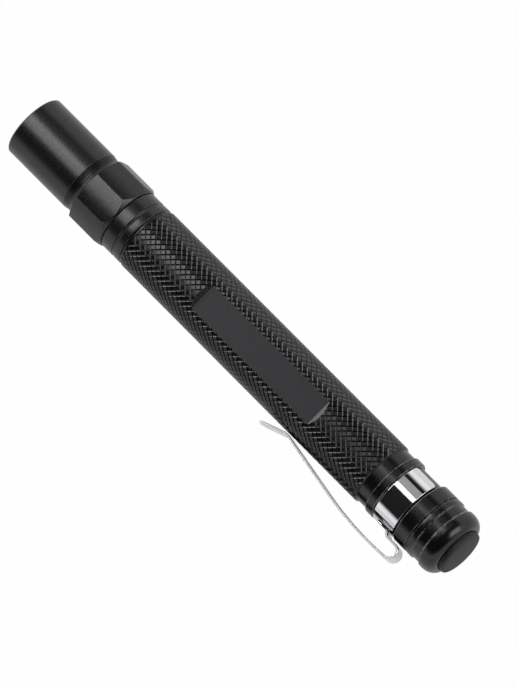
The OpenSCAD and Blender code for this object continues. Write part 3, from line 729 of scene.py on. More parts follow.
@dataclass
class Head:
    """The screw-on head: front tube, shallow neck and octagon.

    stock is turned over the octagon's corners and goes as the flats are cut. Wear shows within worn_deg of an edge
    of the octagon and down to worn_reach under its flats.
    """

    rim_radius: float = 7.3
    rim_chamfer: float = 0.3
    mouth_radius: float = 5.8
    mouth_bevel: float = 0.5
    lip: float = 1.2
    bore_radius: float = 6.5
    tube_end: float = 17.0
    neck_radius: float = 7.0
    neck_floor: float = 18.69
    octagon_front: float = 19.6
    octagon_rear: float = 28.8
    flat_radius: float = 7.65
    front_chamfer: float = 0.35
    front_drop: float = 0.1
    rear_chamfer: float = 1.3
    rear_drop: float = 0.15
    corner_ease: float = 0.06
    flats: int = 8
    octagon_turn_deg: float = 5.0
    neck_ease: float = 0.5
    ease: float = 0.09
    inner_ease: float = 0.05
    stock: float = 0.02
    corner_steps: int = 2
    worn_deg: float = 0.75
    worn_reach: float = 0.05

    def corner_radius(self) -> float:
        """Radius of the octagon's corners."""
        return self.flat_radius / math.cos(math.pi / self.flats)

    def corners(self) -> list[Corner]:
        """The outline of the head before its flats are cut.

        Returns:
            The corners, in order.
        """
        wide = self.corner_radius() + self.stock
        return [
            Corner(0.0, self.mouth_radius + self.mouth_bevel, self.ease),
            Corner(0.0, self.rim_radius - self.rim_chamfer, self.ease),
            Corner(self.rim_chamfer, self.rim_radius, self.ease),
            Corner(self.tube_end, self.rim_radius, self.ease),
            Corner(self.neck_floor, self.neck_radius, self.neck_ease),
            Corner(self.octagon_front, self.flat_radius - self.front_drop, self.ease),
            Corner(self.octagon_front + self.front_chamfer, wide),
            Corner(self.octagon_rear - self.rear_chamfer, wide),
            Corner(self.octagon_rear, self.flat_radius - self.rear_drop, self.ease),
            Corner(self.octagon_rear, self.bore_radius, self.inner_ease),
            Corner(self.lip, self.bore_radius),
            Corner(self.lip, self.mouth_radius, self.inner_ease),
            Corner(self.mouth_bevel, self.mouth_radius, self.inner_ease),
        ]

    def flat_edge(self, place: Vector) -> float:
        """Wear along the edges of the flats.

        Args:
            place: a point of the piece, in mm.

        Returns:
            1 on an edge of the octagon and 0 elsewhere.
        """
        if not self.octagon_front < -place.x < self.octagon_rear:
            return 0.0
        turn = 2.0 * math.pi / self.flats
        lean = math.atan2(place.y, place.z) - math.radians(self.octagon_turn_deg)
        angle = (lean + turn / 2.0) % turn - turn / 2.0
        out = math.hypot(place.y, place.z) * math.cos(angle)
        on_edge = abs(abs(angle) - turn / 2.0) < math.radians(self.worn_deg)
        return 1.0 if out > self.flat_radius - self.worn_reach and on_edge else 0.0

    def sort_faces(self, obj: bpy.types.Object) -> None:
        """Gives the neck a darker finish, as painted shade behind the front tube.

        Args:
            obj: the finished head, in metres.
        """
        slots = lay_finishes(obj, (ANODISED, NECK_PAINTED_SHADE))
        for face in obj.data.polygons:
            place = face.center / MM
            outside = math.hypot(place.y, place.z) > self.bore_radius + self.ease
            if outside and self.tube_end + self.ease < -place.x < self.octagon_front - self.ease:
                # the neck behind the tube gets painted shade
                face.material_index = slots[NECK_PAINTED_SHADE]

    def build(self) -> bpy.types.Object:
        """Turns the head, cuts its flats and breaks their edges.

        Returns:
            The finished piece.
        """
        obj = turn_piece("head_turned", self.corners())
        open_mesh(obj)
        for k in range(self.flats):
            turn = 2.0 * math.pi * k / self.flats + math.radians(self.octagon_turn_deg)
            out = Vector((0.0, math.sin(turn), math.cos(turn)))
            bpy.ops.mesh.select_all(action="SELECT")
            bpy.ops.mesh.bisect(
                plane_co=out * self.flat_radius, plane_no=out, use_fill=True, clear_outer=True)
        tidy_mesh()
        pick_points(obj, lambda co: math.hypot(co.y, co.z) > self.corner_radius() - PICK_GAP)
        bpy.ops.mesh.bevel(
            offset_type="OFFSET", offset=self.corner_ease, segments=self.corner_steps, affect="EDGES")
        bpy.ops.object.mode_set(mode="OBJECT")
        finish_piece(obj, flat_corners=self.flats)
        mark_wear_and_highlight(obj, self.corners(), self.flat_edge)
        self.sort_faces(obj)
        return stand_in(obj, Body.HEAD, "head_shell", ANODISED)


@dataclass
class LightEngine:
    """What stands behind the lens: seal, bowl, emitter and its boards."""

    mouth_radius: float = 5.9
    hole_radius: float = 2.6
    outer_radius: float = 6.4
    front: float = 3.62
    rear: float = 12.22
    focus: float = 11.52
    gasket_radius: float = 3.45
    gasket: float = 0.55
    bowl_steps: int = 28

    def build(self) -> bpy.types.Object:
        """Turns the bowl as a smooth paraboloid.

        Returns:
            The finished piece.
        """
        run = self.focus - self.front
        focal = (math.hypot(run, self.mouth_radius) - run) / 2.0
        bowl = []
        for k in range(self.bowl_steps + 1):
            radius = self.mouth_radius + (self.hole_radius - self.mouth_radius) * k / self.bowl_steps
            bowl.append(Corner(self.focus + focal - radius * radius / (4.0 * focal), radius))
        back = [
            Corner(self.rear - self.gasket, self.hole_radius),
            Corner(self.rear - self.gasket, self.gasket_radius),
            Corner(self.rear, self.gasket_radius),
            Corner(self.rear, self.outer_radius),
            Corner(self.front, self.outer_radius),
        ]
        obj = finish_piece(turn_piece("reflector_bowl", bowl + back))
        return stand_in(obj, Body.ENGINE, "reflector", MIRROR)

    def dress(self) -> None:
        """Finishes the carried-over pieces of the engine."""
        dress_nodes({
            "lens": GLASS, "lens_seal": NITRILE, "led_gasket": NYLON, "led_emitter": PHOSPHOR,
            "led_board": MASK_WHITE, "led_leads": INSULATION, "led_pill": BRASS, "driver_board": MASK_GREEN,
            "driver_inductor": FERRITE, "contact_spring": GOLD_WIRE,
        })


@dataclass
class Barrel:
    """The barrel: collar, knurled grip with its nameplate flat, undercut, flange, clip neck and spigots.

    starts is the number of diamonds round the grip, row their length along it and top_share the flat share of
    each. The knurled sleeve laps over the bar by sleeve_lap and reaches in to sleeve_bore. stock and the spares
    are what a cutter takes beyond the piece. flat_rise, ramp_slack and ramp_lean tell faces by their normals.
    """

    bay_radius: float = 5.5
    spigot_radius: float = 6.4
    spigot_front: float = 22.0
    split: float = 28.85
    collar_radius: float = 7.375
    groove: float = 31.85
    groove_width: float = 0.65
    groove_depth: float = 0.35
    relief: float = 34.3
    relief_radius: float = 7.0
    grip_front: float = 34.7
    grip_rear: float = 106.2
    grip_radius: float = 7.5
    grip_chamfer: float = 0.35
    undercut_radius: float = 7.1
    flange: float = 108.9
    clip_neck: float = 111.1
    neck_radius: float = 6.8
    cap_front: float = 117.2
    spigot_rear: float = 122.7
    seal_floor: float = 5.95
    seal_half: float = 0.35
    head_seal: float = 27.3
    tail_seal: float = 118.7
    plate_front: float = 54.1
    plate_rear: float = 89.1
    plate_height: float = 6.7
    ramp_deg: float = 37.0
    thread_pitch: float = 1.0
    thread_floor: float = 6.08
    thread_top: float = 0.3
    thread_root: float = 0.1
    head_thread: float = 21.4
    head_turns: int = 5
    tail_thread: float = 119.5
    tail_turns: int = 4
    starts: int = 31
    row: float = 1.52
    top_share: float = 0.67
    root_radius: float = 7.37
    core_radius: float = 7.02
    ease: float = 0.08
    floor_ease: float = 0.32
    edge: float = 0.2
    inner_ease: float = 0.05
    sleeve_lap: float = 0.2
    sleeve_bore: float = 6.9
    stock: float = 0.02
    knurl_spare: float = 1.0
    seam_gap: float = 0.002
    cutter_height: float = 2.0
    cutter_spare: float = 1.0
    thread_steps: int = 72
    flat_rise: float = 0.99
    ramp_slack: float = 0.01
    ramp_lean: float = 0.02

    def corners(self) -> list[Corner]:
        """The outline of the barrel, with the grip left under the knurl.

        Returns:
            The corners, in order.
        """
        front, rear = self.head_seal, self.tail_seal
        floor = self.collar_radius - self.groove_depth
        return [
            Corner(self.spigot_front, self.bay_radius),
            Corner(self.spigot_front, self.spigot_radius - self.edge),
            Corner(self.spigot_front + self.edge, self.spigot_radius),
            Corner(front - self.seal_half, self.spigot_radius, self.inner_ease),
            Corner(front - self.seal_half, self.seal_floor),
            Corner(front + self.seal_half, self.seal_floor),
            Corner(front + self.seal_half, self.spigot_radius, self.inner_ease),
            Corner(self.split, self.spigot_radius),
            Corner(self.split, self.collar_radius - self.edge, self.ease),
            Corner(self.split + self.edge, self.collar_radius, self.ease),
            Corner(self.groove, self.collar_radius, self.ease),
            Corner(self.groove, floor, self.floor_ease),
            Corner(self.groove + self.groove_width, floor, self.floor_ease),
            Corner(self.groove + self.groove_width, self.collar_radius, self.ease),
            Corner(self.relief - self.edge, self.collar_radius, self.ease),
            Corner(self.relief, self.relief_radius, self.inner_ease),
            Corner(self.grip_front + self.sleeve_lap, self.relief_radius),
            Corner(self.grip_front + self.sleeve_lap, self.core_radius),
            Corner(self.grip_rear - self.sleeve_lap, self.core_radius),
            Corner(self.grip_rear - self.sleeve_lap, self.undercut_radius),
            Corner(self.flange, self.undercut_radius, self.inner_ease),
            Corner(self.flange, self.grip_radius - self.edge, self.ease),
            Corner(self.flange + self.edge, self.grip_radius, self.ease),
            Corner(self.clip_neck - self.edge, self.grip_radius, self.ease),
            Corner(self.clip_neck, self.grip_radius - self.edge, self.ease),
            Corner(self.clip_neck, self.neck_radius, self.inner_ease),
            Corner(self.cap_front - self.edge, self.neck_radius),
            Corner(self.cap_front, self.neck_radius - self.edge),
            Corner(self.cap_front, self.spigot_radius),
            Corner(rear - self.seal_half, self.spigot_radius, self.inner_ease),
            Corner(rear - self.seal_half, self.seal_floor),
            Corner(rear + self.seal_half, self.seal_floor),
            Corner(rear + self.seal_half, self.spigot_radius, self.inner_ease),
            Corner(self.spigot_rear - self.edge, self.spigot_radius),
            Corner(self.spigot_rear, self.spigot_radius - self.edge),
            Corner(self.spigot_rear, self.bay_radius),
        ]

    def knurled_bar(self) -> bpy.types.Object:
        """Cuts the crossed grooves into a sheet of diamonds and rolls it into a bar.

        Returns:
            A closed bar, a little longer than the grip, in mm.
        """
        length = self.grip_rear - self.grip_front + self.knurl_spare
        across = math.sqrt(2.0)
        half_run = length / self.row * across / 2.0
        half_round = self.starts / across
        cells = 2 * math.ceil((half_run + half_round) / across + 1.0)
        deselect_all()
        bpy.ops.mesh.primitive_grid_add(x_subdivisions=cells, y_subdivisions=cells, size=float(cells))
        obj = bpy.context.object
        obj.name = "knurled_bar"
        open_mesh(obj)
        bpy.ops.mesh.select_all(action="SELECT")
        bpy.ops.mesh.inset(thickness=(1.0 - self.top_share) / 2.0, depth=1.0, use_individual=True)
        bpy.ops.mesh.select_all(action="SELECT")
        bpy.ops.transform.rotate(value=math.pi / 4.0, orient_axis="Z", center_override=(0.0, 0.0, 0.0))
        for plane in (Vector((half_run, 0.0, 0.0)), Vector((-half_run, 0.0, 0.0)),
                      Vector((0.0, half_round, 0.0)), Vector((0.0, -half_round, 0.0))):
            bpy.ops.mesh.select_all(action="SELECT")
            bpy.ops.mesh.bisect(plane_co=plane, plane_no=plane.normalized(), clear_outer=True)
        bpy.ops.object.mode_set(mode="OBJECT")
        # bending needs a window, so the sheet is rolled point by point
        middle = (self.grip_front + self.grip_rear) / 2.0
        for vert in obj.data.vertices:
            turn = vert.co.y * across * math.pi / self.starts
            out = self.root_radius + (self.grip_radius - self.root_radius) * vert.co.z
            along = -middle - vert.co.x * self.row / across
            vert.co = Vector((along, out * math.sin(turn), out * math.cos(turn)))
        open_mesh(obj)
        tidy_mesh(self.seam_gap)
        for end in (1.0, -1.0):
            pick_points(obj, lambda co: end * (co.x + middle) > length / 2.0 - 2.0 * MERGE_GAP)
            bpy.ops.mesh.edge_face_add()
        tidy_mesh()
        bpy.ops.object.mode_set(mode="OBJECT")
        return obj

    def plate_cutter(self) -> bpy.types.Object:
        """The milling cut of the nameplate flat, with sloping ends.

        Returns:
            A closed block, in mm.
        """
        tall, wide = self.cutter_height, 2.0 * (self.grip_radius + self.cutter_spare)
        middle = -(self.plate_front + self.plate_rear) / 2.0
        halfway = self.plate_height + tall / 2.0
        run_out = tall / math.tan(math.radians(self.ramp_deg))
        obj = add_block(
            "plate_cutter", (self.plate_rear - self.plate_front, wide, tall), (middle, 0.0, halfway))
        for end in (1.0, -1.0):
            pick_points(obj, lambda co: end * (co.x - middle) > 0.0 and co.z > halfway)
            bpy.ops.transform.translate(value=(end * run_out, 0.0, 0.0))
        tidy_mesh()
        bpy.ops.object.mode_set(mode="OBJECT")
        return obj

    def thread_cutter(self, front: float, turns: int) -> bpy.types.Object:
        """The path of the threading tool, wound round a spigot.

        Args:
            front: station where the cut begins.
            turns: whole turns of thread.

        Returns:
            A closed coil, in mm.
        """
        over = self.spigot_radius + self.edge
        rear = -front - turns * self.thread_pitch
        tooth = [
            Vector((rear - self.thread_top, 0.0, over)), Vector((rear + self.thread_top, 0.0, over)),
            Vector((rear + self.thread_root, 0.0, self.thread_floor)),
            Vector((rear - self.thread_root, 0.0, self.thread_floor)),
        ]
        obj = draw_line("thread_cutter", tooth + tooth[:1])
        merge_points()
        bpy.ops.object.mode_set(mode="OBJECT")
        take_up(obj)
        wind = obj.modifiers.new("wind", "SCREW")
        wind.axis = "X"
        wind.screw_offset = self.thread_pitch
        wind.iterations = turns
        wind.steps = wind.render_steps = self.thread_steps
        bpy.ops.object.modifier_apply(modifier=wind.name)
        open_mesh(obj)
        bpy.ops.mesh.select_all(action="SELECT")
        bpy.ops.mesh.fill_holes(sides=0)
        tidy_mesh()
        bpy.ops.object.mode_set(mode="OBJECT")
        return obj

    def sort_faces(self, obj: bpy.types.Object) -> None:
        """Gives the rings behind the grip, the knurl, the nameplate flat and its ramps their own finishes.

        Args:
            obj: the finished barrel, in metres.
        """
        slots = lay_finishes(obj, (ANODISED, KNURL, PLATE, POLISHED_PAINTED_SHADE, RAMP))
        for face in obj.data.polygons:
            place = face.center / MM
            outside = math.hypot(place.y, place.z) >= self.plate_height - SORT_GAP
            if -place.x >= self.grip_rear + SORT_GAP:
                # the rings behind the grip take the darker finish, painted shade over the tail end
                face.material_index = slots[POLISHED_PAINTED_SHADE]
            elif -place.x > self.grip_front - SORT_GAP and outside:
                face.material_index = slots[self.grip_finish(place, face.normal)]

    def grip_finish(self, place: Vector, normal: Vector) -> Finish:
        """Tells the nameplate flat and its ramps from the knurl.

        Args:
            place: the middle of a face of the grip, in mm.
            normal: the way that it looks.

        Returns:
            Its finish.
        """
        ramp_rise = math.cos(math.radians(self.ramp_deg))
        if abs(place.z - self.plate_height) < PICK_GAP and normal.z > self.flat_rise:
            return PLATE
        if abs(normal.z - ramp_rise) < self.ramp_slack and abs(normal.y) < self.ramp_lean:
            # the ramps get the stronger mirror, a painted highlight
            return RAMP
        return KNURL

    def build(self) -> bpy.types.Object:
        """Turns the barrel, cuts its threads, wraps the knurl round it and mills the flat.

        Returns:
            The finished piece.
        """
        over = self.grip_radius + self.stock
        low = over - self.grip_chamfer
        sleeve = self.knurled_bar()
        ring = turn_piece("grip_ring", [
            Corner(self.grip_front, self.sleeve_bore),
            Corner(self.grip_front, low),
            Corner(self.grip_front + self.grip_chamfer, over),
            Corner(self.grip_rear - self.grip_chamfer, over),
            Corner(self.grip_rear, low),
            Corner(self.grip_rear, self.sleeve_bore),
        ])
        cut_piece(sleeve, ring, Solver.KEEP)
        obj = turn_piece("barrel_turned", self.corners())
        cut_piece(obj, self.thread_cutter(self.head_thread, self.head_turns), Solver.CUT)
        cut_piece(obj, self.thread_cutter(self.tail_thread, self.tail_turns), Solver.CUT)
        cut_piece(obj, sleeve, Solver.JOIN)
        cut_piece(obj, self.plate_cutter(), Solver.CUT)
        open_mesh(obj)
        merge_points()
        bpy.ops.object.mode_set(mode="OBJECT")
        finish_piece(obj)
        mark_wear_and_highlight(obj, self.corners())
        self.sort_faces(obj)
        return stand_in(obj, Body.BARREL, "barrel", ANODISED)

    def dress(self) -> None:
        """Finishes the seals and the cells."""
        dress_nodes({
            "head_oring": NITRILE, "tail_oring": NITRILE, "front_cell": NICKEL, "rear_cell": NICKEL,
            "front_cell_jacket": JACKET, "rear_cell_jacket": JACKET,
        })


@dataclass
class Clip:
    """The pocket clip: a sprung band round the neck and a strip folded back over the barrel.

    Outside the band, a face whose normal leans sideways by more than outer_lean is frosted, or by more than
    inner_lean where it looks to the barrel.
    """

    thickness: float = 0.55
    width: float = 5.0
    band_radius: float = 6.85
    band_front: float = 111.25
    band_rear: float = 117.05
    band_corner: float = 0.65
    wrap_deg: float = 294.0
    root_front: float = 112.9
    root_length: float = 2.2
    root_height: float = 7.175
    leg_height: float = 8.175
    joggle_run: float = 1.8
    leg: float = 2.2
    fold_radius: float = 1.6
    fold_deg: float = 176.0
    arch_radius: float = 75.0
    slope_deg: float = 9.6
    contact_height: float = 7.975
    contact_radius: float = 2.5
    lip_deg: float = 19.0
    lip: float = 6.0
    lip_corner: float = 1.8
    bend_steps: int = 16
    strip_ease: float = 0.22
    inner_lean: float = 0.9
    outer_lean: float = 0.1
    swivel_deg: float = 3.0
    band_ease: float = 0.12
    sharp_deg: float = 60.0
    strip_ease_steps: int = 4
    band_ease_steps: int = 3
    lip_steps: int = 8
    band_steps: int = 96
    band_clear: float = 0.1
    saddle_height: float = 1.5
    saddle_play: float = 0.025

    def centre_line(self) -> list[Vector]:
        """Walks along the strip from its root to its lip.

        Returns:
            Places in the plane of the axis, in mm.
        """
        rise = self.leg_height - self.root_height
        joggle_deg = math.degrees(2.0 * math.atan(rise / self.joggle_run))
        joggle_radius = self.joggle_run / (2.0 * math.sin(math.radians(joggle_deg)))
        arch_deg = 180.0 + self.slope_deg - self.fold_deg
        fold_top = self.leg_height + self.fold_radius * (1.0 - math.cos(math.radians(self.fold_deg)))
        arch_top = fold_top + self.arch_radius * (
            math.cos(math.radians(self.slope_deg)) - math.cos(math.radians(180.0 - self.fold_deg)))
        slope_end = self.contact_height + self.contact_radius * (1.0 - math.cos(math.radians(self.slope_deg)))
        arm = (arch_top - slope_end) / math.sin(math.radians(self.slope_deg))
        legs = [
            (self.root_length, 0.0, 0.0), (0.0, joggle_radius, joggle_deg), (0.0, joggle_radius, -joggle_deg),
            (self.leg, 0.0, 0.0), (0.0, self.fold_radius, self.fold_deg), (0.0, self.arch_radius, arch_deg),
            (arm, 0.0, 0.0), (0.0, self.contact_radius, -self.slope_deg - self.lip_deg), (self.lip, 0.0, 0.0),
        ]
        station, height, heading = self.root_front, self.root_height, 0.0
        line = [Vector((-station, height, 0.0))]
        for length, radius, turn_deg in legs:
            steps = self.bend_steps if turn_deg else 1
            turn = math.radians(turn_deg) / steps
            for _ in range(steps):
                chord = 2.0 * radius * math.sin(abs(turn) / 2.0) if turn else length
                station += chord * math.cos(heading + turn / 2.0)
                height += chord * math.sin(heading + turn / 2.0)
                heading += turn
                line.append(Vector((-station, height, 0.0)))
        return line

    def thicken(self, obj: bpy.types.Object, offset: float) -> None:
        """Gives an open sheet its thickness.

        Args:
            obj: the sheet.
            offset: 0 for both sides, 1 for the side that its faces look to and -1 for the other.
        """
        take_up(obj)
        wall = obj.modifiers.new("wall", "SOLIDIFY")
        wall.thickness = self.thickness
        wall.offset = offset
        wall.use_even_offset = True
        bpy.ops.object.modifier_apply(modifier=wall.name)

    def strip(self) -> bpy.types.Object:
        """Folds the strip and rounds its lip.

        Returns:
            A closed strip, in mm.
        """
        line = self.centre_line()
        obj = draw_line("clip_strip", line)
        bpy.ops.mesh.select_all(action="SELECT")
        bpy.ops.transform.translate(value=(0.0, 0.0, -self.width / 2.0))
        bpy.ops.mesh.extrude_region_move(TRANSFORM_OT_translate={"value": (0.0, 0.0, self.width)})
        tidy_mesh()
        pick_points(obj, lambda co: math.hypot(co.x - line[-1].x, co.y - line[-1].y) < PICK_GAP)
        bpy.ops.mesh.bevel(
            offset_type="OFFSET", offset=self.lip_corner, segments=self.lip_steps, affect="VERTICES")
        bpy.ops.object.mode_set(mode="OBJECT")
        self.thicken(obj, 0.0)
        soften(obj, self.strip_ease, self.sharp_deg, self.strip_ease_steps)
        return obj

    def band(self) -> bpy.types.Object:
        """Rolls the band round the neck and rounds its four corners.

        Returns:
            A closed band, in mm.
        """
        start, wrap = math.radians(90.0 - self.wrap_deg / 2.0), math.radians(self.wrap_deg)
        line = []
        for k in range(self.band_steps + 1):
            turn = start + wrap * k / self.band_steps
            line.append(Vector((
                -self.band_front, self.band_radius * math.sin(turn), self.band_radius * math.cos(turn))))
        obj = draw_line("clip_band", line)
        bpy.ops.mesh.select_all(action="SELECT")
        bpy.ops.mesh.extrude_region_move(
            TRANSFORM_OT_translate={"value": (self.band_front - self.band_rear, 0.0, 0.0)})
        tidy_mesh()
        bpy.ops.object.mode_set(mode="OBJECT")
        # the ends are trimmed round by moving their corner points in along the band
        circle = 2.0 * math.pi
        for vert in obj.data.vertices:
            turn = math.atan2(vert.co.y, vert.co.z) % circle
            along = min((turn - start) % circle, (start + wrap - turn) % circle)
            in_by = self.band_corner - along * self.band_radius
            if in_by > 0.0:
                trim = self.band_corner - math.sqrt(max(0.0, self.band_corner ** 2 - in_by ** 2))
                vert.co.x += trim if vert.co.x < -(self.band_front + self.band_rear) / 2.0 else -trim
        middle = obj.data.polygons[len(obj.data.polygons) // 2]
        looks_in = middle.normal.dot(Vector((0.0, middle.center.y, middle.center.z))) < 0.0
        self.thicken(obj, -1.0 if looks_in else 1.0)
        soften(obj, self.band_ease, self.sharp_deg, self.band_ease_steps)
        return obj

    def saddle(self) -> bpy.types.Object:
        """The bridge from the flat strip to the round band.

        Returns:
            A closed block, in mm.
        """
        # it ends a third of the way up the joggle
        long = self.root_length + self.joggle_run / 3.0
        obj = add_block(
            "clip_saddle", (long, self.saddle_height, self.width),
            (-self.root_front - long / 2.0, self.root_height - self.saddle_height / 2.0, 0.0))
        bpy.ops.object.mode_set(mode="OBJECT")
        hollow = self.band_radius + self.saddle_play
        bore = turn_piece("clip_bore", [
            Corner(self.band_front, 0.0), Corner(self.band_front, hollow),
            Corner(self.band_rear, hollow), Corner(self.band_rear, 0.0),
        ], closed=False)
        cut_piece(obj, bore, Solver.CUT)
        return obj

    def sort_faces(self, obj: bpy.types.Object) -> None:
        """Frosts the edges of the strip and their outer rounds, and leaves its sides and inner rounds polished.

        Args:
            obj: the finished clip, in metres.
        """
        slots = lay_finishes(obj, (CHROME, SHEARED))
        for face in obj.data.polygons:
            outside = face.center.y > (self.band_radius + self.thickness + self.band_clear) * MM
            lean = self.inner_lean if face.normal.y < 0.0 else self.outer_lean
            if outside and abs(face.normal.z) > lean:
                face.material_index = slots[SHEARED]

    def build(self) -> bpy.types.Object:
        """Joins strip, saddle and band, and turns the clip to where it stands on its neck.

        Returns:
            The finished piece.
        """
        obj = self.strip()
        obj.name = "clip_folded"
        for part in (self.saddle(), self.band()):
            cut_piece(obj, part, Solver.JOIN)
        take_up(obj)
        obj.rotation_euler.x = math.radians(self.swivel_deg)
        bpy.ops.object.transform_apply(location=False, rotation=True, scale=False)
        finish_piece(obj)
        self.sort_faces(obj)
        return stand_in(obj, Body.CLIP, "pocket_clip", CHROME)


@dataclass
class TailCap:
    """The screw-on tail cap and the rubber button in its end."""

    front: float = 117.25
    bore_radius: float = 6.5
    radius: float = 7.55
    chamfer: float = 0.4
    groove: float = 120.8
    groove_width: float = 0.5
    groove_depth: float = 0.4
    waist_front: float = 122.8
    waist_rear: float = 124.8
    waist_depth: float = 0.3
    bulge_front: float = 125.1
    bulge_radius: float = 7.6
    round_front: float = 125.9
    end_radius: float = 5.6
    rear: float = 128.6
    hole_radius: float = 5.45
    wall_front: float = 127.0
    pocket_radius: float = 6.1
    seat: float = 124.6
    ease: float = 0.08
    button_front: float = 126.3
    button_flange: float = 5.95
    button_radius: float = 5.3
    button_side: float = 129.4
    button_crown: float = 130.2
    button_socket: float = 127.1
    socket_radius: float = 1.85
    dome_power: float = 2.6
    dome_steps: int = 22
    inner_ease: float = 0.05
    waist_ease: float = 0.1

    def corners(self) -> list[Corner]:
        """The outline of the cap.

        Returns:
            The corners, in order.
        """
        floor = self.radius - self.groove_depth
        waist = self.radius - self.waist_depth
        return [
            Corner(self.front, self.bore_radius, self.inner_ease),
            Corner(self.front, self.radius - self.chamfer, self.ease),
            Corner(self.front + self.chamfer, self.radius, self.ease),
            Corner(self.groove, self.radius, self.ease),
            Corner(self.groove, floor, self.inner_ease),
            Corner(self.groove + self.groove_width, floor, self.inner_ease),
            Corner(self.groove + self.groove_width, self.radius, self.ease),
            Corner(self.waist_front - self.waist_depth / 2.0, self.radius, self.ease),
            Corner(self.waist_front, waist, self.inner_ease),
            Corner(self.waist_rear, waist, self.waist_ease),
            Corner(self.bulge_front, self.bulge_radius, self.ease),
            *quarter_round(self.bulge_radius, self.end_radius, self.round_front, self.rear),
            Corner(self.rear, self.hole_radius, self.inner_ease),
            Corner(self.wall_front, self.hole_radius),
            Corner(self.wall_front, self.pocket_radius),
            Corner(self.seat, self.pocket_radius),
            Corner(self.seat, self.bore_radius),
        ]

    def build(self) -> bpy.types.Object:
        """Turns the cap.

        Returns:
            The finished piece.
        """
        obj = finish_piece(turn_piece("cap_turned", self.corners()))
        mark_wear_and_highlight(obj, self.corners())
        # the cap's darker tone is painted shade, and its light edges are partly painted highlight
        return stand_in(obj, Body.CAP, "tail_cap", POLISHED_PAINTED_SHADE)

    def build_button(self) -> bpy.types.Object:
        """Turns the button with its soft-shouldered dome.

        Returns:
            The finished piece.
        """
        rise = self.button_crown - self.button_side
        dome = []
        for k in range(self.dome_steps + 1):
            share = math.cos(math.pi / 2.0 * k / self.dome_steps)
            up = (1.0 - share ** self.dome_power) ** (1.0 / self.dome_power)
            out = self.button_radius * share if k < self.dome_steps else 0.0
            dome.append(Corner(self.button_side + rise * up, out))
        obj = finish_piece(turn_piece("button_moulded", [
            Corner(self.button_socket, 0.0),
            Corner(self.button_socket, self.socket_radius),
            Corner(self.button_front, self.socket_radius),
            Corner(self.button_front, self.button_flange, self.inner_ease),
            Corner(self.wall_front, self.button_flange, self.inner_ease),
            Corner(self.wall_front, self.button_radius),
            *dome,
        ], closed=False))
        return stand_in(obj, Body.BUTTON, "push_button", BUTTON)

    def dress(self) -> None:
        """Finishes the switch inside the cap."""
        dress_nodes({
            "switch_plunger": NYLON, "switch_spring": STEEL_WIRE, "switch_housing": BLACK_NYLON,
            "switch_board": MASK_GREEN, "switch_terminals": BRASS, "switch_retainer": BRASS,
            "tail_spring": GOLD_WIRE,
        })


# Studio


@dataclass(frozen=True)
class Lamp:
    """A softbox that faces the light.

    It leans from overhead by across_deg, away from the clip, and by along_deg, towards the head. away and size,
    across and along, are in metres, and power is in watts.
    """

    name: str
    across_deg: float
    along_deg: float
    away: float
    size: tuple[float, float]
    power: float

    def hang(self, aim: Vector) -> None:
        """Hangs the lamp in the scene.

        Args:
            aim: the place that it faces, in metres.
        """
        across, along = math.radians(self.across_deg), math.radians(self.along_deg)
        back = Vector((
            math.sin(along), -math.cos(along) * math.sin(across), math.cos(along) * math.cos(across)))
        data = bpy.data.lights.new(self.name, "AREA")
        data.shape = "RECTANGLE"
        data.size, data.size_y = self.size
        data.energy = self.power
        lamp = bpy.data.objects.new(self.name, data)
        bpy.context.scene.collection.objects.link(lamp)
        length = Vector((1.0, 0.0, 0.0))
        length = (length - back * length.dot(back)).normalized()
        turn = Matrix((length.cross(back), length, back)).transposed()
        lamp.matrix_world = Matrix.Translation(aim + back * self.away) @ turn.to_4x4()


# Key and strip draw the highlights along the top, wall and fill light the side away from the clip, and front the
# faces that look to the head
LAMPS = (
    Lamp("key", 6.0, 28.0, 0.5, (0.31, 0.2), 0.88),
    Lamp("strip", 16.5, 17.0, 1.0, (0.28, 0.36), 0.5),
    Lamp("wall", 38.5, 17.0, 1.1, (0.5, 0.5), 0.3),
    Lamp("fill", 44.0, -36.0, 1.1, (0.7, 0.6), 4.5),
    Lamp("front", 0.0, 67.5, 1.0, (0.52, 0.22), 2.5),
)


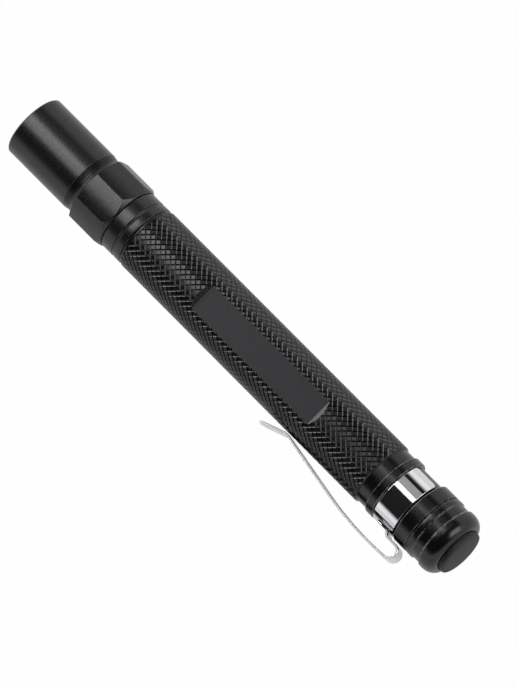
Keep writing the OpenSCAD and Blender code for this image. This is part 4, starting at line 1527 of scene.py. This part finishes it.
@dataclass
class Studio:
    """A pale floor, a dim room with a white surround, soft lamps and the camera.

    Heights, stations, the lens and the aim are in mm; distance, near, far and floor_size are in metres. The room
    goes from white at room_low to room_dim at room_high, which are rises of the line of sight.
    """

    floor_height: float = -7.71
    floor_seen: float = 0.985
    floor_mirrored: float = 0.5
    tail_tilt_deg: float = 17.0
    roll_deg: float = 2.5
    image_turn_deg: float = 45.1
    distance: float = 2.506
    lens: float = 640.0
    middle: float = 65.1
    aim_right: float = 2.33
    aim_down: float = 1.02
    near: float = 0.05
    far: float = 50.0
    floor_size: float = 12.0
    room_low: float = 0.22
    room_high: float = 0.46
    room_dim: float = 0.015

    def axes(self) -> tuple[Vector, Vector, Vector]:
        """Directions right and down in the picture, and back to the camera.

        Returns:
            The three unit vectors.
        """
        tilt, roll, turn = (math.radians(a) for a in (self.tail_tilt_deg, self.roll_deg, self.image_turn_deg))
        back = Vector((
            -math.sin(tilt), -math.cos(tilt) * math.sin(roll), math.cos(tilt) * math.cos(roll)))
        tail = Vector((-1.0, 0.0, 0.0))
        tail = (tail - back * tail.dot(back)).normalized()
        clip = tail.cross(back)
        right = tail * math.cos(turn) - clip * math.sin(turn)
        down = tail * math.sin(turn) + clip * math.cos(turn)
        return right, down, back

    def place_camera(self) -> None:
        """Puts the camera at the photograph's viewing angle."""
        right, down, back = self.axes()
        aim = (Vector((-self.middle, 0.0, 0.0)) + right * self.aim_right + down * self.aim_down) * MM
        data = bpy.data.cameras.new("camera")
        data.lens = self.lens
        data.clip_start, data.clip_end = self.near, self.far
        camera = bpy.data.objects.new("camera", data)
        bpy.context.scene.collection.objects.link(camera)
        turn = Matrix((right, -down, back)).transposed()
        camera.matrix_world = Matrix.Translation(aim + back * self.distance) @ turn.to_4x4()
        bpy.context.scene.camera = camera

    def lay_floor(self) -> None:
        """Lays a large pale floor that keeps a faint shadow."""
        deselect_all()
        bpy.ops.mesh.primitive_plane_add(
            size=self.floor_size, location=(-self.middle * MM, 0.0, self.floor_height * MM))
        floor = bpy.context.object
        floor.name = "floor"
        made = bpy.data.materials.new("paper_sweep_white")
        made.use_nodes = True
        tree = made.node_tree
        tree.nodes.clear()
        path = add_node(tree, "ShaderNodeLightPath")
        seen = add_node(tree, "ShaderNodeMath", {"operation": "MAXIMUM"}, {
            0: path.outputs["Is Camera Ray"], 1: path.outputs["Is Transmission Ray"]})
        seen = add_node(tree, "ShaderNodeMath", {"operation": "MULTIPLY"}, {
            0: seen.outputs[0], 1: self.floor_seen})
        share = add_node(tree, "ShaderNodeMath", {"operation": "MULTIPLY_ADD"}, {
            0: path.outputs["Is Glossy Ray"], 1: self.floor_mirrored, 2: seen.outputs[0]})
        paper = add_node(tree, "ShaderNodeBsdfDiffuse", inputs={"Color": linear("#f2f2f2")})
        glow = add_node(tree, "ShaderNodeEmission", inputs={"Color": linear("#ffffff"), "Strength": 1.0})
        mixed = add_node(tree, "ShaderNodeMixShader", inputs={
            0: share.outputs[0], 1: paper.outputs[0], 2: glow.outputs[0]})
        add_node(tree, "ShaderNodeOutputMaterial", inputs={"Surface": mixed.outputs[0]})
        floor.data.materials.append(made)

    def paint_room(self) -> None:
        """A room that is white near the floor and dim overhead."""
        world = bpy.data.worlds.new("room")
        world.use_nodes = True
        tree = world.node_tree
        tree.nodes.clear()
        way = add_node(tree, "ShaderNodeTexCoord").outputs["Generated"]
        height = add_node(tree, "ShaderNodeSeparateXYZ", inputs={0: way})
        level = add_node(tree, "ShaderNodeMapRange", {"interpolation_type": "SMOOTHSTEP"}, {
            "Value": height.outputs[2], "From Min": self.room_low, "From Max": self.room_high,
            "To Min": 1.0, "To Max": self.room_dim})
        sky = add_node(tree, "ShaderNodeBackground", inputs={
            "Color": linear("#ffffff"), "Strength": level.outputs["Result"]})
        add_node(tree, "ShaderNodeOutputWorld", inputs={"Surface": sky.outputs[0]})
        bpy.context.scene.world = world

    def build(self) -> None:
        """Sets up the whole studio."""
        self.place_camera()
        self.lay_floor()
        self.paint_room()
        for lamp in LAMPS:
            lamp.hang(Vector((-self.middle * MM, 0.0, 0.0)))
        bpy.context.scene.view_settings.view_transform = "Standard"


def main() -> None:
    """Builds the studio and the pieces in order."""
    logging.basicConfig(level=logging.INFO, format="%(name)s %(message)s")
    Studio().build()
    Head().build()
    engine = LightEngine()
    engine.build()
    engine.dress()
    barrel = Barrel()
    barrel.build()
    barrel.dress()
    Clip().build()
    tail = TailCap()
    tail.build()
    tail.build_button()
    tail.dress()


if __name__ == "__main__":
    main()
